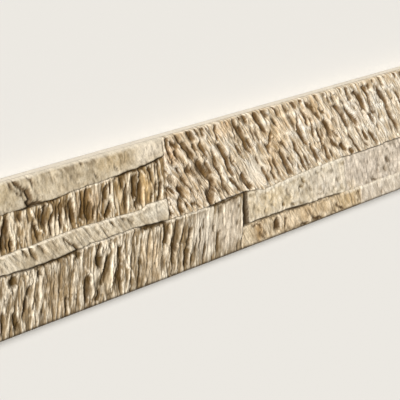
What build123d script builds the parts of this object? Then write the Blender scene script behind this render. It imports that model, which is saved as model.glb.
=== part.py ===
from build123d import *
from random import Random
import os

# Stone-look ceramic wall tile, pressed and fired in one piece, lying on its back.
# X runs along its length, Y up its face as it hangs on the wall, Z out of the face.
# The origin is the centre of the back plane. Lengths are millimetres.

# Body
tile_length = 442.5
tile_width = 80.0
bed_level = 8.8  # back plane to the floor of the joints between the stones
shoulder = 0.4  # strip of bare body left round the pressed face
embed = 1.0  # how far a stone's root reaches into the body
arris = 0.5  # chamfer on the edge of the back

# Adhesive key on the back
key_depth = 0.8
key_border = 6.5  # least width of plain back round the pockets
key_pitch_x = 20.2
key_pitch_y = 16.4
key_rib = 3.0  # land between two pockets
key_draft = 35.0

# Joints between the stones of the face
joint_gap = 0.3  # at the floor of the joint
joint_draft = 18.0  # lean of every stone's side, degrees
lower_course = 33.0  # bottom edge to the bed joint
strip_width = 11.2  # thin course over the bed joint
rubble_width = 21.0  # striated course over the strip
ledge_width = 13.4  # low course at the bottom right
left_block = 168.5  # left end to the joint beside the slanting stone
riser = 235.0  # left end to the joint at the low course
riser_lean = 6.0  # how far that joint leans over the lower course
riser_gap_head = 2.2  # open gap between that joint and the pale slab, at the bed joint
riser_gap_foot = 4.4  # and over the low course
riser_gap_depth = 1.2  # of the cleft along that gap, under the bed
pale_slab = 110.0  # riser to the far end of the pale slab
golden_ledge = 126.0  # riser to the far end of the golden stone under it

# Height of each stone's face over the bed
cap_height = 2.15
rubble_height = 1.0
strip_height = 1.85
reed_height = 0.95
slant_height = 1.4
slab_height = 1.2
ledge_height = 0.45
dusk_rise = 0.8  # how much prouder the last low stone is than the golden one
cap_tilt = -0.7  # how much higher a stone stands at its upper edge than at its lower one
reed_tilt = 0.5
slant_tilt = 0.4

# Ripple over every stone
ripple_pitch = 14.0
ripple_uneven = 0.4  # share of the pitch by which its spacing may differ
ripple_relief = 0.3

# Furrows and ridges
furrow_floor = 0.4  # share of a furrow's width that its floor takes
mark_fade = 0.5  # share of its width and depth that a furrow or ridge has left at its two ends

# Single marks on the face, each placed from the left end and the bottom edge
hollow_x = 268.5
hollow_y = 7.6
hollow_width = 5.6
hollow_length = 8.6
hollow_depth = 1.7
scoop_x = 252.0
scoop_y = 45.0
scoop_radius = 70.0
scoop_depth = 0.9

# Joints that run along the tile: (from the left end, rise over the straight line)
bed_waves = [
    (18, 0.6), (57, -0.6), (98, 1.3), (140, 1.6), (166, 0.2), (205, -0.3),
    (236, 1.0), (259, -1.0), (310, 1.4), (352, 2.0), (395, 2.3),
]
strip_waves = [(20, -0.6), (60, -0.2), (92, 1.2), (120, 0.4), (146, -0.4), (166, 1.6)]
cap_waves = [(22, 0.3), (57, -1.2), (68, -1.2), (94, 0.4), (126, 0.8), (150, 2.0), (167, 4.2)]
ledge_waves = [(240, 1.0), (282, 1.2), (312, 0.0), (345, -1.2), (376, -1.0), (410, -1.4)]

# Furrows and ridges, stone by stone: width at the face, depth or height, and the places each one runs
# through, from the left end and the bottom edge. The first cap furrows are its broken corner.
cap_furrows = [
    (2.8, 1.4, (50, 79), (54, 76), (58, 72), (60, 68)), (3.6, 1.8, (60, 73), (60, 65)),
    (3.4, 2.0, (56, 67), (60, 65), (68, 65)), (1.6, 0.8, (47, 79), (49, 75), (58, 69)),
    (1.8, 0.8, (60, 80), (64, 77), (65, 73)), (2.4, 0.8, (101, 79), (103, 77)),
]
strip_furrows = [
    (1.9, 0.9, (56, 43), (61, 36)), (2.2, 1.2, (83, 41), (87, 38), (92, 34)),
    (1.6, 0.8, (119, 43), (122, 40)),
]
gold_furrows = [
    (2.4, 0.9, (279, 10), (278, 4)), (2.0, 0.7, (253, 13), (253, 9)), (2.0, 0.7, (252, 8), (257, 2)),
    (3.0, 0.9, (308, 3), (317, 1)), (2.4, 0.8, (332, 7), (336, 4), (342, 1)),
]
rubble_furrows = [
    (4.0, 1.4, (10, 61), (9, 48)), (3.0, 1.2, (20, 62), (19, 52)), (3.6, 1.3, (30, 62), (28, 46)),
    (5.5, 1.8, (43, 61), (40, 52), (39, 46)), (3.2, 1.5, (45, 54), (45, 47)), (3.0, 1.0, (53, 61), (54, 57)),
    (3.6, 1.1, (64, 56), (66, 48)), (5.2, 1.7, (72, 62), (71, 56), (69, 51)), (2.8, 1.5, (77, 58), (75, 46)),
    (4.4, 1.3, (83, 61), (81, 47)), (5.6, 1.5, (90, 61), (91, 48)), (3.2, 1.0, (100, 63), (99, 47)),
    (2.4, 1.1, (105, 65), (103, 59)), (3.4, 1.4, (106, 56), (103, 47)), (2.4, 1.1, (119, 64), (118, 55)),
    (4.2, 1.6, (122, 53), (120, 49), (117, 46)), (5.4, 1.2, (133, 65), (134, 56), (135, 49)),
    (7.0, 1.7, (145, 63), (144, 55), (142, 48)), (2.6, 1.0, (155, 66), (158, 50)),
    (3.4, 1.6, (164, 56), (162, 46)), (3.2, 1.2, (164, 69), (164, 64)),
]
rubble_ridges = [
    (1.5, 0.9, (47, 64), (48, 56), (51, 45)), (1.4, 0.9, (62, 64), (65, 58), (70, 47)),
    (1.4, 0.9, (78, 64), (77, 50), (77, 45)), (1.4, 0.9, (85, 64), (86, 52), (89, 45)),
    (1.6, 0.8, (95, 65), (95, 46)), (1.2, 0.7, (114, 65), (113, 57), (116, 45)),
    (1.9, 0.9, (126, 66), (123, 54), (127, 47)), (1.4, 0.9, (141, 67), (137, 56), (139, 46)),
    (1.2, 0.7, (150, 67), (153, 62), (156, 56)), (1.2, 0.7, (167, 69), (167, 46)),
]
reed_furrows = [
    (3.2, 1.2, (13, 30), (10, 18)), (2.6, 1.0, (23, 28), (21, 15)), (2.2, 1.0, (27, 14), (25, 3)),
    (3.0, 1.0, (34, 16), (32, 4)), (6.6, 1.8, (43, 32), (44, 26)), (3.4, 1.1, (43, 13), (42, 8), (45, 4)),
    (2.2, 1.1, (52, 19), (50, 13), (48, 8)), (4.0, 1.8, (63, 31), (63, 26)), (2.6, 1.2, (81, 11), (80, 2)),
    (4.2, 1.6, (94, 32), (92, 28)), (4.6, 1.6, (99, 19), (96, 12), (95, 4)),
    (7.0, 1.8, (109, 27), (108, 21)),
    (2.2, 1.1, (111, 32), (107, 27)), (4.2, 1.8, (116, 25), (114, 19), (107, 10)),
    (3.4, 1.6, (107, 9), (104, 2)),
    (4.0, 1.8, (126, 29), (125, 22)), (4.0, 1.1, (125, 20), (123, 12), (123, 4)),
    (2.4, 1.2, (142, 18), (140, 10), (138, 2)), (4.8, 1.7, (167, 32), (165, 26), (162, 20)),
    (3.4, 1.6, (170, 22), (169, 14), (168, 7)), (3.4, 1.6, (177, 31), (174, 25), (171, 14)),
    (2.8, 1.5, (188, 25), (185, 19), (183, 14)), (4.8, 1.8, (182, 14), (180, 8), (179, 4)),
    (2.6, 1.2, (187, 8), (185, 4)), (2.6, 1.3, (235, 13), (233, 7), (232, 2)),
]
reed_ridges = [
    (1.2, 0.9, (39, 32), (41, 25), (44, 20)), (1.4, 0.9, (53, 32), (56, 28), (61, 24)),
    (1.9, 0.7, (65, 30), (63, 19), (62, 9)), (2.0, 1.1, (99, 22), (103, 14), (101, 3)),
    (1.5, 1.0, (122, 33), (121, 24), (117, 5)), (1.2, 1.0, (127, 29), (131, 19), (137, 6)),
    (1.2, 0.8, (145, 31), (142, 20), (140, 3)), (1.2, 0.8, (172, 31), (167, 18), (164, 5)),
    (1.3, 1.0, (180, 25), (174, 13), (172, 3)), (1.2, 0.8, (190, 31), (187, 18), (182, 5)),
    (1.1, 0.6, (195, 31), (192, 20), (189, 5)), (1.1, 0.6, (199, 31), (196, 18), (193, 5)),
    (1.2, 0.6, (205, 32), (202, 20), (199, 6)), (1.2, 0.6, (235, 31), (232, 16), (229, 3)),
]
slant_furrows = [
    (3.0, 1.4, (171, 80), (176, 75), (181, 71)), (3.0, 1.4, (174, 65), (178, 61), (180, 57)),
    (4.0, 1.7, (178, 50), (181, 47), (184, 42)), (3.0, 1.3, (167, 46), (169, 41), (172, 35)),
    (4.0, 1.5, (176, 42), (179, 38), (181, 34)), (4.6, 1.9, (179, 81), (188, 71), (194, 62)),
    (4.6, 1.6, (186, 60), (191, 56)), (3.4, 1.5, (191, 80), (194, 76), (196, 72)),
    (3.0, 1.4, (194, 70), (198, 66)),
    (5.2, 1.9, (195, 62), (200, 57), (205, 49)), (6.4, 2.1, (204, 47), (207, 41), (206, 34)),
    (2.4, 1.2, (202, 81), (206, 76), (209, 72)), (3.0, 1.3, (201, 72), (204, 68), (207, 64)),
    (3.4, 1.4, (204, 58), (208, 53), (210, 48)), (3.2, 1.5, (211, 64), (215, 54), (219, 45)),
    (3.2, 1.5, (219, 44), (222, 39), (226, 34)), (2.6, 1.4, (216, 79), (217, 72), (217, 68)),
    (3.8, 1.8, (216, 67), (224, 58), (226, 51), (230, 45)), (2.8, 1.3, (228, 58), (232, 51)),
    (3.2, 1.3, (227, 44), (232, 38), (236, 34)), (4.2, 1.8, (237, 46), (242, 39), (247, 35)),
    (4.0, 1.8, (234, 80), (235, 75), (243, 65), (244, 60), (249, 56)), (2.8, 1.2, (234, 64), (239, 57)),
    (3.2, 1.5, (243, 81), (247, 74)), (2.8, 1.3, (246, 64), (250, 58)),
    (4.0, 1.8, (254, 80), (255, 76), (259, 71), (264, 65)),
    (3.0, 1.3, (254, 52), (258, 47)), (2.8, 1.3, (259, 45), (261, 41), (265, 35)),
    (3.2, 1.4, (260, 81), (267, 74)),
    (4.4, 1.5, (265, 57), (267, 53)), (4.0, 1.4, (266, 64), (269, 60)),
    (3.4, 1.6, (271, 81), (275, 77), (279, 73)),
    (4.8, 1.9, (277, 52), (282, 43), (287, 35)), (2.6, 1.3, (283, 80), (287, 73)),
    (3.2, 1.5, (291, 81), (297, 74)),
    (3.8, 1.8, (297, 69), (298, 60), (304, 52), (307, 49)),
    (3.6, 1.7, (292, 54), (293, 50), (298, 43), (300, 39), (303, 35)),
    (2.6, 1.3, (301, 81), (302, 76)), (2.8, 1.3, (301, 73), (306, 66), (307, 61)),
    (3.4, 1.5, (305, 77), (313, 72), (321, 63)), (2.8, 1.3, (310, 66), (312, 60), (314, 53)),
    (4.2, 1.7, (309, 49), (314, 42), (317, 37)), (2.4, 1.2, (316, 81), (322, 73)),
    (3.0, 1.4, (317, 59), (321, 50), (323, 42)), (2.8, 1.3, (321, 71), (326, 65)),
    (5.0, 1.9, (324, 63), (329, 56), (331, 49)), (3.0, 1.4, (331, 50), (337, 44), (341, 40)),
    (3.2, 1.4, (325, 47), (327, 41), (329, 35)), (2.4, 1.1, (334, 54), (340, 49)),
    (4.2, 1.8, (336, 69), (340, 68), (343, 65), (350, 55), (353, 52)), (4.6, 1.9, (341, 44), (348, 38)),
    (4.0, 1.8, (348, 66), (356, 59), (362, 52)), (3.6, 1.7, (351, 79), (354, 71), (357, 69)),
    (3.0, 1.4, (351, 50), (357, 41), (364, 34)), (2.0, 1.0, (362, 52), (374, 36)),
    (4.2, 1.8, (358, 74), (364, 72), (368, 68), (373, 59)),
    (3.8, 1.8, (369, 77), (374, 74), (377, 69), (378, 63), (384, 56)),
    (3.8, 1.8, (374, 46), (382, 40), (385, 36)), (2.4, 1.2, (377, 57), (382, 50)),
    (4.4, 1.9, (386, 75), (393, 66), (399, 57), (406, 48), (409, 39)), (2.8, 1.4, (390, 80), (395, 72)),
    (2.6, 1.2, (411, 66), (416, 58), (419, 50)), (3.8, 1.6, (416, 80), (424, 66), (427, 56)),
    (3.0, 1.4, (415, 47), (422, 36)), (3.6, 1.6, (426, 79), (435, 63), (440, 48)),
    (2.4, 1.1, (429, 52), (436, 37)), (2.6, 1.2, (437, 79), (441, 72)),
]

# Corners and levels that follow from the sizes above
left = -tile_length / 2
right = tile_length / 2
bottom = -tile_width / 2
top = tile_width / 2
edge_left = left + shoulder
edge_right = right - shoulder
edge_bottom = bottom + shoulder
edge_top = top - shoulder
block_x = left + left_block
riser_foot = left + riser - riser_lean / 2
riser_ledge = riser_foot + riser_lean * ledge_width / lower_course
riser_head = riser_foot + riser_lean
slab_end = left + riser + pale_slab
golden_end = left + riser + golden_ledge
strip_level = lower_course + strip_width
cap_level = strip_level + rubble_width
stone_root = bed_level - embed
stone_heights = (cap_height, rubble_height, strip_height, reed_height, slant_height, slab_height)
tallest = bed_level + max(*stone_heights, ledge_height + dusk_rise) + max(slant_tilt, reed_tilt, -cap_tilt)


def face_point(x, y, z=0.0):
    """A point given from the left end, the bottom edge and the bed."""
    return Vector(left + x, bottom + y, bed_level + z)


def joint_line(level, waves, start, end):
    """Points of a joint from one X place to another, at a level over the bottom edge, with its waves."""
    inside = [(left + x, rise) for x, rise in waves if start < left + x < end]
    first = min(waves, key=lambda wave: abs(left + wave[0] - start))[1]
    last = min(waves, key=lambda wave: abs(left + wave[0] - end))[1]
    return [(x, bottom + level + rise) for x, rise in [(start, first), *inside, (end, last)]]


def swept_bar(section, places, level):
    """A bar of the given section along a broken line at a level over the bed, smaller at its two ends."""
    points = [face_point(x, y, level) for x, y in places]
    if len(points) == 2:
        points.insert(1, (points[0] + points[1]) / 2)
    last = len(points) - 1
    with BuildPart() as bar:
        for number, point in enumerate(points):
            along = (points[min(number + 1, last)] - points[max(number - 1, 0)]).normalized()
            share = mark_fade if number in (0, last) else 1.0
            with BuildSketch(Plane(origin=point, x_dir=along.cross(Vector(0, 0, 1)), z_dir=along)):
                with BuildLine():
                    Polyline(*[(across * share, up * share) for across, up in section], close=True)
                make_face()
        loft(ruled=True)
    return bar.part


def furrow_bar(width, depth, *places, level):
    """What a furrow takes away: a trough with a flat floor, carried as far over the face as under it."""
    floor, brim = width / 2 * furrow_floor, width / 2 * (2 - furrow_floor)
    return swept_bar([(-brim, depth), (-floor, -depth), (floor, -depth), (brim, depth)], places, level)


def ridge_bar(width, height, *places, level):
    """A sharp ridge, rooted as far under the face as it stands over it."""
    return swept_bar([(-width, -height), (0, height), (width, -height)], places, level)


def stone_block(outline, height, seed, ridges=(), tilt=0.0):
    """One stone of the face: a rippled block with its ridges, drafted to its outline.

    A ruled loft joins the block's sections at its lower edge, middle and upper edge."""
    rng = Random(seed)
    low_y, high_y = min(y for x, y in outline) - joint_gap, max(y for x, y in outline) + joint_gap
    crests = [min(x for x, y in outline) - ripple_pitch]
    while crests[-1] < max(x for x, y in outline):
        crests.append(crests[-1] + ripple_pitch * rng.uniform(1 - ripple_uneven, 1 + ripple_uneven))
    with BuildPart() as stone:
        for share in (0.0, 0.5, 1.0):
            level = bed_level + height + tilt * (share - 0.5)
            ripple = [(x, level + ripple_relief * rng.uniform(-1, 0)) for x in crests]
            with BuildSketch(Plane.XZ.offset(-low_y - (high_y - low_y) * share)):
                with BuildLine():
                    Polyline((crests[0], stone_root), *ripple, (crests[-1], stone_root), close=True)
                make_face()
        loft(ruled=True)
        if ridges:
            add([ridge_bar(*row, level=height) for row in ridges])
        with BuildSketch(Plane.XY.offset(stone_root)):
            with BuildLine():
                Polyline(*outline, close=True)
            make_face()
            offset(amount=-joint_gap / 2, kind=Kind.INTERSECTION)
        extrude(amount=tallest - stone_root, taper=joint_draft, mode=Mode.INTERSECT)
    return stone.part


bed_left = joint_line(lower_course, bed_waves, edge_left, block_x)
bed_reed = joint_line(lower_course, bed_waves, edge_left, riser_head)
bed_slant = joint_line(lower_course, bed_waves, block_x, edge_right)
bed_pale = joint_line(lower_course, bed_waves, riser_head + riser_gap_head, slab_end)
bed_grey = joint_line(lower_course, bed_waves, slab_end, edge_right)
strip_line = joint_line(strip_level, strip_waves, edge_left, block_x)
cap_line = joint_line(cap_level, cap_waves, edge_left, block_x)
ledge_pale = joint_line(ledge_width, ledge_waves, riser_ledge + riser_gap_foot, slab_end)
ledge_grey = joint_line(ledge_width, ledge_waves, slab_end, edge_right)
ledge_gold = joint_line(ledge_width, ledge_waves, riser_ledge, golden_end)
ledge_dusk = joint_line(ledge_width, ledge_waves, golden_end, edge_right)

cap_outline = [*cap_line, (block_x, edge_top), (edge_left, edge_top)]
rubble_outline = [*strip_line, *cap_line[::-1]]
strip_outline = [*bed_left, *strip_line[::-1]]
reed_outline = [(edge_left, edge_bottom), (riser_foot, edge_bottom), *bed_reed[::-1]]
slant_outline = [*bed_slant, (edge_right, edge_top), (block_x, edge_top)]
pale_outline = [*ledge_pale, *bed_pale[::-1]]
grey_outline = [*ledge_grey, *bed_grey[::-1]]
gold_outline = [(riser_foot, edge_bottom), (golden_end, edge_bottom), *ledge_gold[::-1]]
dusk_outline = [(golden_end, edge_bottom), (edge_right, edge_bottom), *ledge_dusk[::-1]]

cap = stone_block(cap_outline, cap_height, 3, tilt=cap_tilt)
rubble = stone_block(rubble_outline, rubble_height, 5, rubble_ridges)
strip = stone_block(strip_outline, strip_height, 8)
reeds = stone_block(reed_outline, reed_height, 13, reed_ridges, reed_tilt)
slant = stone_block(slant_outline, slant_height, 21, tilt=slant_tilt)
pale = stone_block(pale_outline, slab_height, 34)
grey = stone_block(grey_outline, slab_height, 55)
gold = stone_block(gold_outline, ledge_height, 89)
dusk = stone_block(dusk_outline, ledge_height + dusk_rise, 144)

# Every furrow with the height of the stone it is cut into
furrows = [
    (cap_furrows, cap_height),
    (strip_furrows, strip_height),
    (gold_furrows, ledge_height),
    (rubble_furrows, rubble_height),
    (reed_furrows, reed_height),
    (slant_furrows, slant_height),
]
gap_foot = (riser_ledge - left + riser_gap_foot / 2, ledge_width)
gap_head = (riser_head - left + riser_gap_head / 2, lower_course)

with BuildPart() as tile:
    with BuildSketch():
        Rectangle(tile_length, tile_width)
    extrude(amount=bed_level)
    chamfer(tile.edges().group_by(Axis.Z)[0], length=arris)
    for stone in (cap, rubble, strip, reeds, slant, pale, grey, gold, dusk):
        add(stone)
    for rows, height in furrows:
        add([furrow_bar(*row, level=height) for row in rows], mode=Mode.SUBTRACT)
    # Cleft between the last reed and the pale slab
    add(furrow_bar(riser_gap_head, riser_gap_depth, gap_foot, gap_head, level=0), mode=Mode.SUBTRACT)
    # Blind round hollow in the golden stone
    for rise, share in ((ledge_height, 1.0), (ledge_height - hollow_depth, 0.5)):
        with BuildSketch(Plane.XY.offset(bed_level + rise)):
            with Locations((left + hollow_x, bottom + hollow_y)):
                Ellipse(hollow_width / 2 * share, hollow_length / 2 * share)
    loft(mode=Mode.SUBTRACT)
    # Smooth scoop broken out of the slanting stone
    with Locations(face_point(scoop_x, scoop_y, slant_height - scoop_depth + scoop_radius)):
        Sphere(scoop_radius, mode=Mode.SUBTRACT)
    # Adhesive key: drafted pockets pressed into the back
    key_columns = int((tile_length - 2 * key_border + key_rib) / key_pitch_x)
    key_rows = int((tile_width - 2 * key_border + key_rib) / key_pitch_y)
    with BuildSketch(Plane.XY):
        with GridLocations(key_pitch_x, key_pitch_y, key_columns, key_rows):
            Rectangle(key_pitch_x - key_rib, key_pitch_y - key_rib)
    extrude(amount=key_depth, taper=key_draft, mode=Mode.SUBTRACT)

tile.part.label = "tile"
os.makedirs("parts", exist_ok=True)
export_step(tile.part, "parts/tile.step")
print("solids", len(tile.part.solids()), "faces", len(tile.part.faces()), "valid", tile.part.is_valid)
print("box", tile.part.bounding_box().size)
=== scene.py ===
import math

import bpy
import numpy as np
from mathutils import Matrix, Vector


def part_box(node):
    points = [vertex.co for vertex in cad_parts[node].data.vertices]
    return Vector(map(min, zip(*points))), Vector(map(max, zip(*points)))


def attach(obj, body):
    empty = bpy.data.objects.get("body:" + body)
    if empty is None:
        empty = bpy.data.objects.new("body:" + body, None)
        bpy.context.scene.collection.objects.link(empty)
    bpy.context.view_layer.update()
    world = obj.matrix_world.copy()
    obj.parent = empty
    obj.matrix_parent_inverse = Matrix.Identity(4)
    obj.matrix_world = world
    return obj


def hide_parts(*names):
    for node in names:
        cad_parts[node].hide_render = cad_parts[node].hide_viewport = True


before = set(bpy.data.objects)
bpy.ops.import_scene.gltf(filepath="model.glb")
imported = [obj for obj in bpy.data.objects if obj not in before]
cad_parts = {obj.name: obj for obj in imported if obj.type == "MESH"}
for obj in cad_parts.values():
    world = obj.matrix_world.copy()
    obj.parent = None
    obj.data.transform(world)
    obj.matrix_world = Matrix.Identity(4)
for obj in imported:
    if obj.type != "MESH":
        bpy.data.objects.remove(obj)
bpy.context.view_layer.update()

# Everything below is worked out in millimetres: x from the tile's left end, y from its bottom edge,
# z from the back plane. It is turned into the frame's metres where the mesh is filled.
mm = 0.001
tileLow, tileHigh = (np.array(corner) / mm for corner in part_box("tile"))
tileLength, tileWidth, tileHeight = tileHigh - tileLow


def toLinear(red, green, blue):
    # a screen colour, 0 to 255, as the light it stands for
    screen = np.array([red, green, blue]) / 255
    return np.where(screen < 0.04045, screen / 12.92, ((screen + 0.055) / 1.055) ** 2.4)


def mixIn(colour, tint, share):
    # colours moved towards a tint by each point's own share: colour (1 - share) + tint share
    share = share[..., None]
    return colour * (1 - share) + tint * share


def smoothStep(low, high, value):
    # 0 below low, 1 above high, and an S-curve between them
    t = np.clip((value - low) / (high - low), 0, 1)
    return t * t * (3 - 2 * t)


def grainNoise(u, v, seed):
    # random heights on a square lattice, joined by a smooth quintic step; from -1 to 1
    size = 256
    lattice = np.random.default_rng(seed).uniform(-1, 1, (size, size))
    iu, iv = np.floor(u).astype(int), np.floor(v).astype(int)
    fu, fv = u - iu, v - iv
    su = fu * fu * fu * (fu * (fu * 6 - 15) + 10)
    sv = fv * fv * fv * (fv * (fv * 6 - 15) + 10)
    a, b = lattice[iu % size, iv % size], lattice[(iu + 1) % size, iv % size]
    c, d = lattice[iu % size, (iv + 1) % size], lattice[(iu + 1) % size, (iv + 1) % size]
    return (a * (1 - su) + b * su) * (1 - sv) + (c * (1 - su) + d * su) * sv


def layeredNoise(u, v, seed, layers=3):
    # layers of that noise, each twice as fine and half as high as the one before
    total = sum(grainNoise(u * 2**k, v * 2**k, seed + k) / 2**k for k in range(layers))
    return total / (2 - 2 ** (1 - layers))


# The lines below were placed at crestLevel over the back plane, seen aslant. One that lies
# deeper is moved this far along x and y for each millimetre, so that it still shows where it should.
sight = {"crestLevel": 10, "slide": (1.21, -0.32)}

# How a drawn stroke covers the points near its line
brush = {
    "half": 0.52,  # half its width, as a share of the width that is written
    "soft": 0.2,  # and how far it reaches beyond that
    "margin": 0.6,  # points further off than half a width and this are left out
    "endSlope": 4,  # it narrows towards its ends, from this slope,
    "endWidth": 0.35,  # this share of its width at the very end,
    "endPower": 0.7,  # and this roundness
}


def strokeCover(x, y, stroke, level, power):
    # how strongly a drawn stroke at a level covers each point: 1 on its broken line, falling
    # to 0 a half width away as 1 - d^power, and tapering towards its two ends
    width, points = stroke[0], np.array(stroke[2:], float).reshape(-1, 2)
    points = points + np.array(sight["slide"]) * (sight["crestLevel"] - level)
    cover = np.zeros_like(x)
    reach = width * 0.5 + brush["margin"]
    near = (x > points[:, 0].min() - reach) & (x < points[:, 0].max() + reach)
    near &= (y > points[:, 1].min() - reach) & (y < points[:, 1].max() + reach)
    px, py = x[near], y[near]
    runs = np.hypot(*(points[1:] - points[:-1]).T)
    ends = np.concatenate([[0], np.cumsum(runs)])
    best = np.full(px.shape, np.inf)
    place = np.zeros(px.shape)
    for k, run in enumerate(runs):
        (x0, y0), (x1, y1) = points[k], points[k + 1]
        t = np.clip(((px - x0) * (x1 - x0) + (py - y0) * (y1 - y0)) / run**2, 0, 1)
        gap = np.hypot(px - x0 - t * (x1 - x0), py - y0 - t * (y1 - y0))
        closer = gap < best
        best = np.where(closer, gap, best)
        place = np.where(closer, (ends[k] + t * run) / ends[-1], place)
    taper = np.clip(brush["endSlope"] * np.minimum(place, 1 - place) + brush["endWidth"], 0, 1)
    taper = taper ** brush["endPower"]
    cover[near] = np.clip(1 - (best / (width * brush["half"] * taper + brush["soft"])) ** power, 0, 1) * taper
    return cover


bedLevel = 7.6  # back plane to the level the stones' rises are counted from

# Joints between the stones: (x, y) along each line, and (x, depth) where its depth changes. bed runs
# the whole length; cap lies under the cap stone and strip over the thin strip, on the left block;
# ledge lies under the two slabs, right of the leaning joint.
joints = {
    "bed": [
        (0, 33.6), (35, 33.5), (57, 32.5), (75, 33), (93, 34), (100, 34.5), (140, 35), (150, 34), (166, 33),
        (205, 33), (215, 33.5), (236, 34.2), (250, 33.5), (258, 31.8), (270, 32.5), (290, 33.8), (310, 34.8),
        (345, 35), (385, 34.8), (395, 35.4), (443, 35),
    ],
    "bedDepth": [
        (0, 1.7), (60, 1.6), (66, 2.1), (90, 2.1), (98, 1.2), (140, 1.1), (146, 1.9), (166, 1.9), (170, 0.3),
        (202, 0.3), (208, 1.6), (238, 1.7), (250, 1), (258, 0.3), (338, 0.3), (346, 1), (443, 1.2),
    ],
    "strip": [
        (0, 43), (37, 43.5), (60, 44.2), (90, 45.4), (120, 44.6), (145, 43.8), (148, 45.6), (166, 45.6),
    ],
    "cap": [
        (0, 64.4), (57, 64), (70, 64.3), (82, 64.4), (94, 65.6), (126, 66.4), (150, 67.5), (158, 68.5),
        (168, 70),
    ],
    "capDepth": [
        (0, 0.6), (52, 0.4), (57, 2.1), (69, 1.9), (73, 1.1), (84, 1), (91, 0.5), (124, 0.4), (130, 1.7),
        (169, 1.5),
    ],
    "ledge": [
        (0, 13.4), (232, 14), (240, 14.7), (280, 14.5), (300, 13.4), (320, 13.3), (345, 12.4), (443, 12),
    ],
    "ledgeDepth": [(236, 2.2), (256, 2), (290, 2.3), (306, 1.9), (338, 1.5), (342, 0.3), (443, 0.3)],
    "sink": 1.2,  # how far the joints lie under the level at which they were placed
    "waver": (0.22, 4.5),  # how far the lines stray up and down, and over what length
    "blockX": 168.6,  # where the upright joint of the two blocks stands
    "riserFoot": 232.8,  # x of the leaning joint at the bottom edge
    "riserLean": 0.17,  # and how far it leans per millimetre up
    "riserGap": [(14, 6.4), (20, 5.8), (30, 3.6), (34, 2.8)],  # y and width of the open gap beside it
    "slabEnd": 345,  # where the smooth slab ends,
    "goldEnd": 361.5,  # and the gold stone
    # how far each upright joint strays aside, over what length up the face, and the seed of its noise
    "strays": {"block": (0.35, 4, 91), "riser": (0.3, 4, 92), "slab": (0.7, 5, 93), "gold": (0.7, 4, 94)},
    "uneven": (0.35, 5),  # how much a joint's depth varies, as a share, and over what length
    # A joint's darkness is partly its own dark filling and partly painted shade: it grows darker and wider
    # with the joint's depth, and on a stone's edge as it rolls down into the joint.
    "darkDepth": (0.3, 1.3),  # depths at which a joint starts to look dark, and is darkest
    "darkReach": (0.15, 0.5),  # the darkness fades between these distances, in depths of the joint
    "darkCut": (0.35, 1.1),  # cuts at which a stone's own edge starts to look dark, and is darkest
    "colour": (70, 53, 28),  # what lies in the joints, dark enough to stand for their shade too
    # painted highlight along the upper edge of the stone below a joint, where that edge catches the light:
    # which one, from x, to x, and how wide
    "litEdges": [
        ("bed", 252, 345, 2.8), ("bed", 168, 204, 1.6), ("bed", 98, 142, 1), ("strip", 30, 92, 1.2),
        ("strip", 94, 168, 1.6), ("ledge", 345, 443, 2.2), ("cap", 95, 127, 1.3),
    ],
    # colour of that painted highlight
    "litEdgeColour": (248, 238, 219),
    "litEdgeFade": 3,  # over what length a painted highlight starts and ends
    "darkness": 0.95,  # share of that colour in the darkest joint
    "bottomShadowReach": 2.1,  # how far a painted shadow, in the joints' dark colour, reaches up from the bottom edge
    "rimPale": 2.2,  # and thin pale glaze down from the top edge of the cap stone
    "rimThin": 0.6,  # and its width on the other stones, as a share
}


def jointLine(name, x):
    # the joint's level at each x, straight between its points and roughened a little by noise
    far, run = joints["waver"]
    line = np.array(joints[name]) + np.array(sight["slide"]) * joints["sink"]
    return np.interp(x, line[:, 0], line[:, 1]) + far * grainNoise(x / run, x * 0, len(name))


def jointDepth(name, x):
    # the joint's depth at each x, straight between its points, and up to a third more or less by noise
    share, run = joints["uneven"]
    depths = np.array(joints[name])
    uneven = 1 + share * layeredNoise(x / run, x * 0, 40 + len(name), 2)
    return np.interp(x, depths[:, 0], depths[:, 1]) * uneven


def jointStray(name, y):
    # how far aside an upright joint stands at each y
    far, run, seed = joints["strays"][name]
    return far * grainNoise(y / run, y * 0, seed)
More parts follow.
